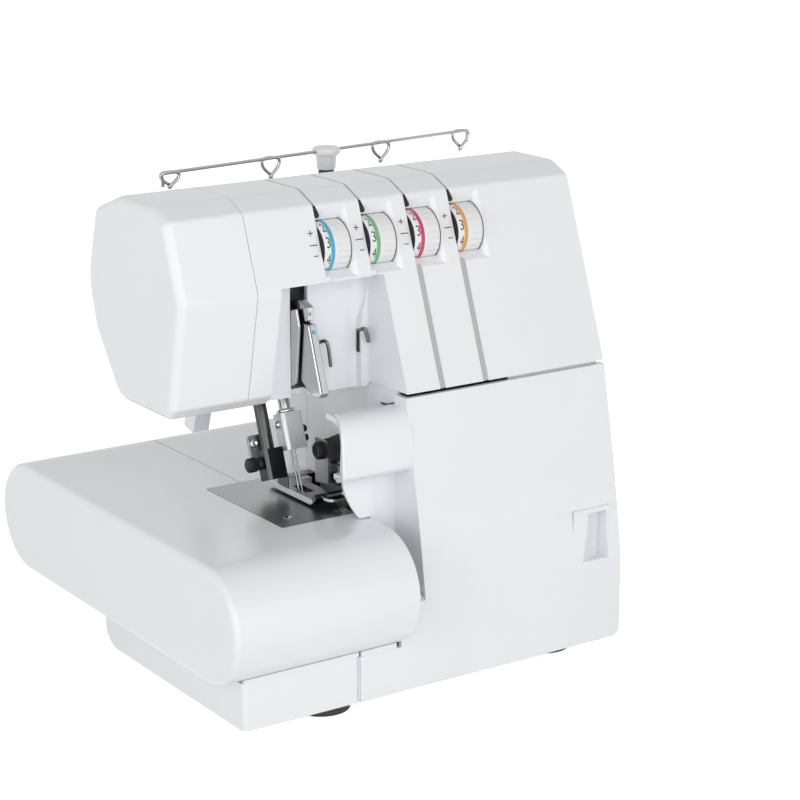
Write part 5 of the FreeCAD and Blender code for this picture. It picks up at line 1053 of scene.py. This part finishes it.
@dataclass
class NeedleArea(Assembly):
    """Clamp, screws, foot, knife trim and plate marks round the needles."""

    plate: Point = (100.0, 97.5, 100.0)
    collar: Outline = ((3.7, 0.0), (5.6, 0.0), (5.9, 0.4), (5.9, 1.9), (5.5, 2.4), (3.7, 2.4))
    pinch: Outline = ((0.3, 0.0), (1.6, 0.0), (2.3, 0.5), (2.5, 1.1), (2.5, 2.6))
    head: Outline = ((2.3, 0.0), (2.3, 2.6), (2.0, 3.0), (1.2, 3.0), (1.1, 2.0), (0.3, 2.0))
    heads: Pair = (32.75, 38.5)
    thumb: Outline = (
        (0.2, 0.0), (3.2, 0.0), (4.3, 0.6), (4.5, 1.2), (4.5, 5.4), (4.1, 6.0), (2.6, 6.4), (2.6, 7.6),
        (3.6, 8.0), (3.6, 10.0),
    )
    side_plate: Point = (10.4, 22.0, 2.0)
    side_thick: float = 1.8
    side_screw: Outline = ((2.6, 0.0), (2.6, 1.1), (2.2, 1.5), (1.2, 1.5), (1.1, 0.8), (0.3, 0.8))
    toe: Point = (102.6, 61.2, 105.7)
    toe_outer: Point = (18.6, 11.6, 5.4)
    toe_inner: Point = (12.6, 5.0, 2.4)
    rail: Outline = ((67.4, 103.0), (69.4, 101.5), (117.4, 101.5), (117.4, 105.0), (69.0, 105.0))
    knob: Outline = ((0.3, 0.5), (2.0, 0.5), (2.1, 0.0), (4.8, 0.0), (5.5, 0.5), (5.6, 1.1), (5.6, 3.8))
    lug: Point = (11.0, 14.0, 3.0)
    nut: Outline = ((0.3, 1.0), (1.6, 1.0), (1.7, 0.0), (3.2, 0.0), (3.6, 0.4), (3.6, 1.4))
    countersunk: Outline = ((3.0, -0.6), (3.0, 0.06), (2.7, 0.12), (0.3, 0.12))
    lines: Outline = ((98.0, 54.0), (101.0, 54.0), (104.0, 54.0))
    line_size: Pair = (0.5, 5.0)

    def leaned(self, x: float, y: float, z: float) -> np.ndarray:
        """A point counted from the plate along the needle bar's lean."""
        return np.asarray(self.plate) + np.array((x, y, z)) @ Axis.LEANING.basis()

    def build(self) -> None:
        """Makes the small pieces in order."""
        self.clamp()
        self.foot()
        self.knife()
        self.plate_marks()

    def clamp(self) -> None:
        """Collar on top of the clamp, its pinch screw and the needles' two set screws."""
        top, side = self.leaned(0.0, 0.0, 50.0), self.leaned(-10.0, -2.0, 43.5)
        low, high = ((Axis.X, self.leaned(7.4, -2.4, z), self.head, 36, 12, 0.2) for z in self.heads)
        self.add(
            Turned("clamp_collar", "needle", "chrome", Axis.LEANING, top, self.collar),
            Turned("clamp_pinch_screw", "needle", "chrome", Axis.X, side, self.pinch, 40),
            Turned("needle_screw_1", "needle", "black_plastic", *low, stands_for="needle_set_screws"),
            Turned("needle_screw_2", "needle", "black_plastic", *high),
        )

    def foot(self) -> None:
        """Thumb screw, side plate with its screw, slotted toe and rail of the presser foot."""
        thumb = (Axis.X, self.leaned(-33.5, 0.0, 22.0), self.thumb, 96, 24, 0.45)
        corner = self.leaned(-22.4, 5.6, 29.0)
        plate = (corner, Plane.PANEL, rounded(*self.side_plate), self.side_thick, 0.3)
        spot = corner + np.array((-1.5, -self.side_thick, 6.0)) @ Axis.LEANING.basis()
        toe = (self.toe, Plane.TOE, self.toe_outer, self.toe_inner, 1.7)
        self.add(
            Turned("foot_thumb_screw", "presser", "black_plastic", *thumb, stands_for="foot_screw"),
            Plate("foot_side_plate", "presser", "plate_steel", *plate),
            Turned("side_plate_screw", "presser", "chrome", Axis.FRONT, spot, self.side_screw, 36),
            RingPlate("foot_toe", "presser", "chrome", *toe),
            Plate("foot_rail", "presser", "satin_chrome", (88.9, 0.0, 0.0), Plane.SIDE, self.rail, 1.2, 0.3),
        )

    def knife(self) -> None:
        """Fluted black knob of the upper knife, and the lug with its nut beside it."""
        knob = (Axis.X, (108.8, 93.5, 126.0), self.knob, 96, 16, 0.5)
        lug = ((117.4, 86.5, 111.5), Plane.SIDE, rounded(*self.lug), 2.0, 0.3)
        self.add(
            Turned("knife_knob", "knife", "black_plastic", *knob, stands_for="knife_screw"),
            Plate("knife_lug", "knife", "ground_steel", *lug),
            Turned("knife_lug_nut", "knife", "black_plastic", Axis.X, (116.1, 85.5, 110.0), self.nut, 36),
        )

    def plate_marks(self) -> None:
        """Countersunk screw and three printed width lines on the needle plate."""
        top = self.plate[2]
        flat = (np.array(self.lines)[:, None] + SQUARE[None] * self.line_size).reshape(-1, 2)
        points = np.column_stack((flat, np.full(len(flat), top + 0.05)))
        self.add(
            Turned("plate_screw", "root", "chrome", Axis.Z, (68.0, 60.0, top), self.countersunk),
            Flat("plate_lines", "root", "print_white", points),
        )


@dataclass
class CoverPocket(Assembly):
    """White walls of the knife hood, the pocket under it and the column beside it."""

    apron_top: float = 128.4
    apron_low: float = 100.7
    apron_left: float = 89.0
    apron_run: float = 11.8
    apron_fold: float = 110.0
    apron_right: float = 117.0
    apron_face: float = 32.38
    apron_thick: float = 2.2
    hood_left: float = 77.6
    hood_slant: float = 0.42
    hood_right: float = 128.9
    hood_rim: float = 0.7
    hood_wall: float = 1.7
    hood_ease: float = 9.0
    hood_sink: Pair = (2.7, 0.6)
    hood_middle: Pair = (38.0, 146.0)
    hood_rear: Outline = ((47.5, 162.62), (35.5, 166.5), (36.0, 124.25), (43.6, 124.25))
    wall_rear: Outline = ((47.5, 162.1), (47.0, 162.1), (41.0, 124.9), (43.6, 124.9))
    hood_run: tuple[float, ...] = (
        0.0, 0.25, 0.7, 1.5, 2.5, 3.5, 4.5, 5.5, 6.5, 7.5, 8.5, 9.5, 14.0, 20.0, 28.0, 36.0,
    )
    beads: tuple = (
        ("base_bead", "root", 1.0, 77.6, ((0.25, 28.9), (2.9, 28.9), (2.9, 30.5), (0.25, 31.6)), 0.12),
        ("cover_bead", "cover", 80.6, 25.0, ((0.6, 27.8), (2.9, 27.8), (2.9, 30.5), (0.6, 31.4)), 0.12),
        ("seam_liner", "root", 78.7, 0.9, ((0.9, 1.0), (2.9, 1.0), (2.9, 28.0), (0.9, 28.0)), 0.12),
        (
            "gap_liner", "root", 204.0, 67.0,
            ((25.4, 171.0), (27.0, 171.0), (27.0, 175.1), (25.4, 175.1)), 0.12,
        ),
    )
    wall_outline: Outline = (
        (34.4, 167.7), (47.0, 163.6), (53.4, 163.6), (53.4, 151.0),
        (66.4, 151.0), (66.4, 174.7), (34.4, 174.7),
    )
    column: tuple = ("column_inner_wall", "root", 129.2, 2.2, wall_outline, 0.3)

    def build(self) -> None:
        """Makes the apron, the hood, the beads and liners at the seams, and the column's wall."""
        self.apron()
        self.hood()
        for name, body, start, thick, outline, edge in (*self.beads, self.column):
            self.add(Plate(name, body, "white_plastic", (start, 0.0, 0.0), Plane.SIDE, outline, thick, edge))

    @staticmethod
    def section(front: Pair, rounds: Pair, ends: Pair, rear: Outline) -> np.ndarray:
        """Section of the hood: top, rounded brow, leaning front, rounded chin and underside.

        Args:
            front: y of the front below the brow and above the chin.
            rounds: radii of the brow and of the chin.
            ends: z of the top and of the underside.
            rear: two points in y and z of the top's rear part and two of the underside's.

        Returns:
            Points in y and z, from the top's rear edge to the underside's.
        """
        turn = np.linspace(math.pi / 2.0, math.pi, 12)[:, None]
        brow = np.hstack((1.0 + np.cos(turn), np.sin(turn) - 1.0)) * rounds[0] + (front[0], ends[0])
        turn = turn + math.pi / 2.0
        chin = np.hstack((1.0 + np.cos(turn), 1.0 + np.sin(turn))) * rounds[1] + (front[1], ends[1])
        return np.vstack((rear[:2], brow, chin, rear[2:]))

    def hood(self) -> None:
        """Sleeve that carries the hood flush out of the cover's face.

        The outer section runs straight along x, and its left rim slants back with y. The inner
        section eases from a thin rim to the hood's own wall, by the smooth step of the distance.
        At the right end the front sinks under the face by the square of the distance.
        """
        outer = self.section((16.73, 14.1), (13.0, 6.5), (166.5, 129.6), self.hood_rear)
        wall = self.section((31.0, 31.0), (15.6, 7.6), (162.1, 124.9), self.wall_rear)
        inward = np.array(self.hood_middle) - outer
        inward = inward / np.linalg.norm(inward, axis=1, keepdims=True)
        left, right = self.hood_left, self.hood_right
        last, sunk = self.hood_sink
        end = np.linspace(right - last, right, 6)
        x = np.concatenate((left + np.array(self.hood_run), end))[:, None, None]
        rim = self.hood_rim * np.clip(1.0 - (x - left) / self.hood_rim, 0.0, 1.0) ** 2
        sink = sunk * np.clip((x - right + last) / last, 0.0, 1.0) ** 2
        outside = outer[None] + inward[None] * rim + np.array((1.0, 0.0)) * sink
        ease = np.clip((x - left) / self.hood_ease, 0.0, 1.0)
        ease = ease * ease * (3.0 - 2.0 * ease)
        inside = (outer + self.hood_wall * inward)[None] * (1.0 - ease) + wall[None] * ease
        loops = np.concatenate((outside, inside[:, ::-1]), axis=1)
        behind = np.concatenate((outer, outer[::-1]))[None, :, :1] - outer[:, 0].min()
        along = x + self.hood_slant * behind * (right - x) / (right - left)
        self.add(Surface("hood_sleeve", "cover", "white_plastic", np.concatenate((along, loops), axis=-1)))

    def apron(self) -> None:
        """A sheet that hangs from the hood and draws back to the right as it falls.

        With s from 0 at the hood to 1 at the table, its left edge is at the apron's left
        plus the run times s squared. Its right edge lies flush on the pocket's wall.
        """
        s = np.linspace(0.0, 1.0, 24)[:, None]
        z = self.apron_top + (self.apron_low - self.apron_top) * s
        left = self.apron_left + self.apron_run * s**2
        fixed = np.ones_like(left)
        right = fixed * self.apron_right
        x = np.hstack((left, fixed * self.apron_fold, right, right, left))
        y = self.apron_face + np.array([0.0, 0.0, 0.6, self.apron_thick, self.apron_thick]) * fixed
        surface = np.stack((x, y, np.repeat(z, 5, axis=1)), axis=-1)
        self.add(Surface("pocket_apron", "cover", "white_plastic", surface, False, 0.25))


@dataclass
class RightSide(Assembly):
    """Scale marks, pointers and switch marks on the machine's right side."""

    face: float = 275.06
    middle: float = 146.0
    dials: tuple = (("length_dial", 58.0), ("differential", 104.0))
    pointer_face: float = 284.46
    tick_span: Pair = (14.8, 17.2)
    tick_half: float = 0.25
    digit_reach: float = 20.2
    digit_size: Pair = (2.2, 3.4)
    digit_turns: tuple[float, ...] = (210.0, 130.0, 50.0, -30.0)
    frame_outer: Point = (18.0, 28.4, 2.5)
    frame_inner: Point = (14.0, 24.4, 1.0)

    def build(self) -> None:
        """Makes scales and marks."""
        for body, y in self.dials:
            self.scale(body, y)
        self.switch_marks()

    def flat(self, name: str, body: str, x: float, corners: np.ndarray) -> None:
        """Flat bars in ink on a face square to x, each given by its four corners in y and z."""
        corners = np.asarray(corners).reshape(-1, 2)
        self.add(Flat(name, body, "ink", np.column_stack((np.full(len(corners), x), corners))))

    def scale(self, body: str, y: float) -> None:
        """Ticks spread round a dial on the cover, four digits among them and a pointer on the dial.

        Args:
            body: the dial's body.
            y: the dial's middle.
        """
        angle = np.radians(np.linspace(-60.0, 240.0, 11))[:, None]
        span = np.repeat(self.tick_span, 2)
        half = self.tick_half * np.array([-1.0, 1.0, 1.0, -1.0])
        across = y + span * np.cos(angle) - half * np.sin(angle)
        up = self.middle + span * np.sin(angle) + half * np.cos(angle)
        ticks = np.stack((across, up), axis=-1)[:, ::-1]
        self.flat(f"{body}_ticks", "root", self.face, ticks)
        bar = np.array([(-0.4, 6.0), (0.4, 6.0), (0.4, 11.2), (-0.4, 11.2)]) + (y, self.middle)
        self.flat(f"{body}_pointer", body, self.pointer_face, bar)
        for digit, where in zip("1234", np.radians(self.digit_turns)):
            shape, loops = self.shop.glyph(digit)
            place = np.array((math.cos(where), math.sin(where))) * self.digit_reach + (y, self.middle)
            spread = place + (shape - 0.5) * self.digit_size
            points = np.column_stack((np.full(len(shape), self.face), spread))
            self.add(Flat(f"{body}_digit_{digit}", "root", "ink", points, loops))

    def switch_marks(self) -> None:
        """A bar and a ring beside the switch, and a frame round it."""
        bar = ((33.7, 50.0), (34.3, 50.0), (34.3, 55.0), (33.7, 55.0))
        self.flat("switch_mark_on", "root", self.face, bar)
        frame = ((275.0, 46.0, 46.0), Plane.SIDE, self.frame_outer, self.frame_inner, 1.2)
        self.add(
            Band("switch_mark_off", "root", "ink", (self.face, 34.0, 39.0), (1.8, 2.4), (-0.2, 0.0)),
            RingPlate("switch_frame", "root", "black_plastic", *frame),
        )


@dataclass
class BackDetails(Assembly):
    """Louvres and screws on the rear cover, and felt and caps on the thread stand."""

    face: float = 158.5
    louvres: int = 7
    louvre_low: float = 132.0
    louvre_pitch: float = 5.5
    louvre_span: Pair = (196.0, 250.0)
    louvre_sunk: float = 0.4
    louvre_size: Pair = (1.7, 1.3)
    screws: Outline = ((142.0, 116.0), (262.0, 116.0), (142.0, 224.0), (262.0, 224.0))
    dome: Outline = ((3.4, -0.3), (3.4, 0.5), (3.0, 1.0), (1.8, 1.35), (0.3, 1.45))
    cross_size: Pair = (3.4, 0.85)
    cross_out: float = 1.5
    spools: tuple[float, ...] = (76.0, 139.0, 202.0, 265.0)
    spool_y: float = 298.0
    felt_z: float = 19.02
    felt: Outline = ((2.8, 0.0), (17.0, 0.0), (17.4, 0.3), (17.4, 1.0), (17.0, 1.4), (2.8, 1.4))
    pin_top: float = 78.0
    tip: Outline = ((2.5, -1.2), (2.75, -1.2), (2.75, -0.4), (2.3, -0.12), (1.4, -0.04), (0.3, -0.02))

    def build(self) -> None:
        """Makes louvres, screws, felts and caps."""
        self.vents()
        self.cover_screws()
        for n, x in enumerate(self.spools, 1):
            felt, tip = ((x, self.spool_y, z) for z in (self.felt_z, self.pin_top))
            self.add(
                Turned(f"spool_felt_{n}", "root", "felt", Axis.Z, felt, self.felt, 64),
                Turned(f"spool_pin_tip_{n}", "root", "chrome", Axis.Z, tip, self.tip, 32),
            )

    def vents(self) -> None:
        """Louvres: a half-round rib carried sideways over a dark strip, repeated upwards."""
        turn = np.linspace(0.0, math.pi, 13)[None]
        start, end = self.louvre_span
        root = self.face - self.louvre_sunk
        deep, tall = self.louvre_size
        x = np.array([start, start + 0.8, end - 0.8, end])[:, None]
        swell = np.array([0.55, 1.0, 1.0, 0.55])[:, None]
        outline = rounded(end - start - 1.0, 1.6, 0.7)
        for n in range(self.louvres):
            z = self.louvre_low + self.louvre_pitch * n
            rib = np.broadcast_arrays(x, root + deep * np.sin(turn) * swell, z + tall * np.cos(turn))
            slot = (((start + end) / 2.0, root, z - 2.1), Plane.REAR, outline, 0.46, 0.05)
            self.add(
                Surface(f"louvre_{n + 1}", "root", "white_plastic", np.stack(rib, axis=-1)),
                Plate(f"louvre_slot_{n + 1}", "root", "black_plastic", *slot),
            )

    def cover_screws(self) -> None:
        """Domed screws with a cross, each in its counterbore ring."""
        cross = SQUARE * self.cross_size
        both = np.vstack((cross, cross[:, ::-1] * (-1, 1)))
        for n, (x, z) in enumerate(self.screws, 1):
            centre = (x, self.face, z)
            points = np.column_stack((both[:, 0] + x, np.full(8, self.face + self.cross_out), both[:, 1] + z))
            self.add(
                Turned(f"cover_screw_{n}", "root", "dark_steel", Axis.Y, centre, self.dome, 40),
                Band(f"screw_seat_{n}", "root", "white_plastic", centre, (3.6, 5.0), (-0.2, 0.5), Axis.Y),
                Flat(f"screw_cross_{n}", "root", "black_plastic", points, [[3, 2, 1, 0], [7, 6, 5, 4]]),
            )


@dataclass
class Studio(Assembly):
    """Camera, floor, light and world."""

    eye: Point = (-0.7513, -1.2101, 0.5413)
    ahead: Point = (0.5411, 0.7977, -0.2663)
    above: Point = (0.1495, 0.2204, 0.9639)
    lens: float = 104.24
    sensor: float = 36.0
    floor_half: float = 4.0
    floor_glow: float = 0.80
    sky: float = 0.46
    target: Point = (0.0, 0.0, 0.14)
    lamps: tuple = (
        ("key", (0.1, -2.1, 0.75), 1.6, 13.0),
        ("fill", (-1.1, -1.75, 0.62), 1.4, 9.0),
        ("side", (-1.9, -0.6, 0.5), 1.3, 7.4),
        ("back", (-1.5, 2.1, 0.9), 1.9, 5.5),
    )

    def build(self) -> None:
        """Makes the camera, the floor, the lamps and the world."""
        self.camera()
        self.floor()
        self.light()
        self.world()
        bpy.context.scene.view_settings.view_transform = "Standard"

    @staticmethod
    def stand(data: bpy.types.ID, right: np.ndarray, back: np.ndarray, place: Point) -> bpy.types.Object:
        """A camera or lamp that looks away from its back direction.

        Args:
            data: the camera's or the lamp's data.
            right: direction of its right side.
            back: direction behind it.
            place: where it stands.

        Returns:
            The object.
        """
        made = bpy.data.objects.new(data.name, data)
        bpy.context.collection.objects.link(made)
        turn = np.eye(4)
        turn[:3] = np.column_stack((right, np.cross(back, right), back, place))
        made.matrix_world = Matrix(turn.tolist())
        return made

    def camera(self) -> None:
        """Sets the camera at the photograph's viewing angle."""
        data = bpy.data.cameras.new("camera")
        data.lens = self.lens
        data.sensor_width = self.sensor
        up = np.array(self.above) / np.linalg.norm(self.above)
        back = -np.array(self.ahead) / np.linalg.norm(self.ahead)
        bpy.context.scene.camera = self.stand(data, np.cross(up, back), back, self.eye)

    @staticmethod
    def seen(tree: bpy.types.NodeTree) -> bpy.types.Node:
        """A mask that is 1 for camera, glossy and transmission rays and 0 for other light.

        Args:
            tree: the node tree that the mask goes into.

        Returns:
            The node that puts out the mask.
        """
        path = node(tree, "LightPath")
        first, second = (node(tree, "Math", operation="MAXIMUM") for _ in range(2))
        join(
            tree,
            (path, "Is Camera Ray", first, 0),
            (path, "Is Glossy Ray", first, 1),
            (first, 0, second, 0),
            (path, "Is Transmission Ray", second, 1),
        )
        return second

    def floor(self) -> None:
        """A pale floor that is white to the camera and keeps the shadow."""
        corner = 2.0 * SQUARE * self.floor_half / MM
        points = np.column_stack((corner, np.zeros(4))) - ORIGIN
        made = self.shop.bare("floor", points, [[0, 1, 2, 3]], False)
        paint = bpy.data.materials.new("pale_floor")
        paint.use_nodes = True
        tree = paint.node_tree
        shader = tree.nodes["Principled BSDF"]
        shader.inputs["Base Color"].default_value = (0.86, 0.86, 0.86, 1.0)
        shader.inputs["Roughness"].default_value = 0.8
        shader.inputs["Specular IOR Level"].default_value = 0.0
        shader.inputs["Emission Strength"].default_value = self.floor_glow
        ends = {"A": (0.0, 0.0, 0.0, 1.0), "B": (1.0, 1.0, 1.0, 1.0)}
        tint = node(tree, "Mix", ends, data_type="RGBA")
        join(tree, (self.seen(tree), 0, tint, "Factor"), (tint, "Result", shader, "Emission Color"))
        made.data.materials.append(paint)

    def light(self) -> None:
        """Soft square lamps that look at the middle of the machine."""
        for name, place, size, power in self.lamps:
            data = bpy.data.lights.new(name, "AREA")
            data.size = size
            data.energy = power
            back = np.array(place) - self.target
            back /= np.linalg.norm(back)
            right = np.cross((0.0, 0.0, 1.0), back)
            self.stand(data, right / np.linalg.norm(right), back, place)

    def world(self) -> None:
        """White to the camera and to reflections, softer for light."""
        world = bpy.data.worlds.new("studio")
        world.use_nodes = True
        tree = world.node_tree
        white = (1.0, 1.0, 1.0, 1.0)
        sky = tree.nodes["Background"]
        sky.inputs["Color"].default_value = white
        sky.inputs["Strength"].default_value = self.sky
        backdrop = node(tree, "Background", {"Color": white})
        mix = node(tree, "MixShader")
        join(
            tree,
            (self.seen(tree), 0, mix, 0),
            (sky, 0, mix, 1),
            (backdrop, 0, mix, 2),
            (mix, 0, tree.nodes["World Output"], "Surface"),
        )
        bpy.context.scene.world = world


def main() -> None:
    """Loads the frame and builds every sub-assembly in order."""
    logging.basicConfig(level=logging.INFO, format="%(name)s: %(message)s")
    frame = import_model()
    shop = Workshop()
    shop.dress_nodes(frame)
    kinds = (TensionDials, GuideHead, ThreadRecess, NeedleArea, CoverPocket, RightSide, BackDetails, Studio)
    for kind in kinds:
        kind(shop).build()


if __name__ == "__main__":
    main()
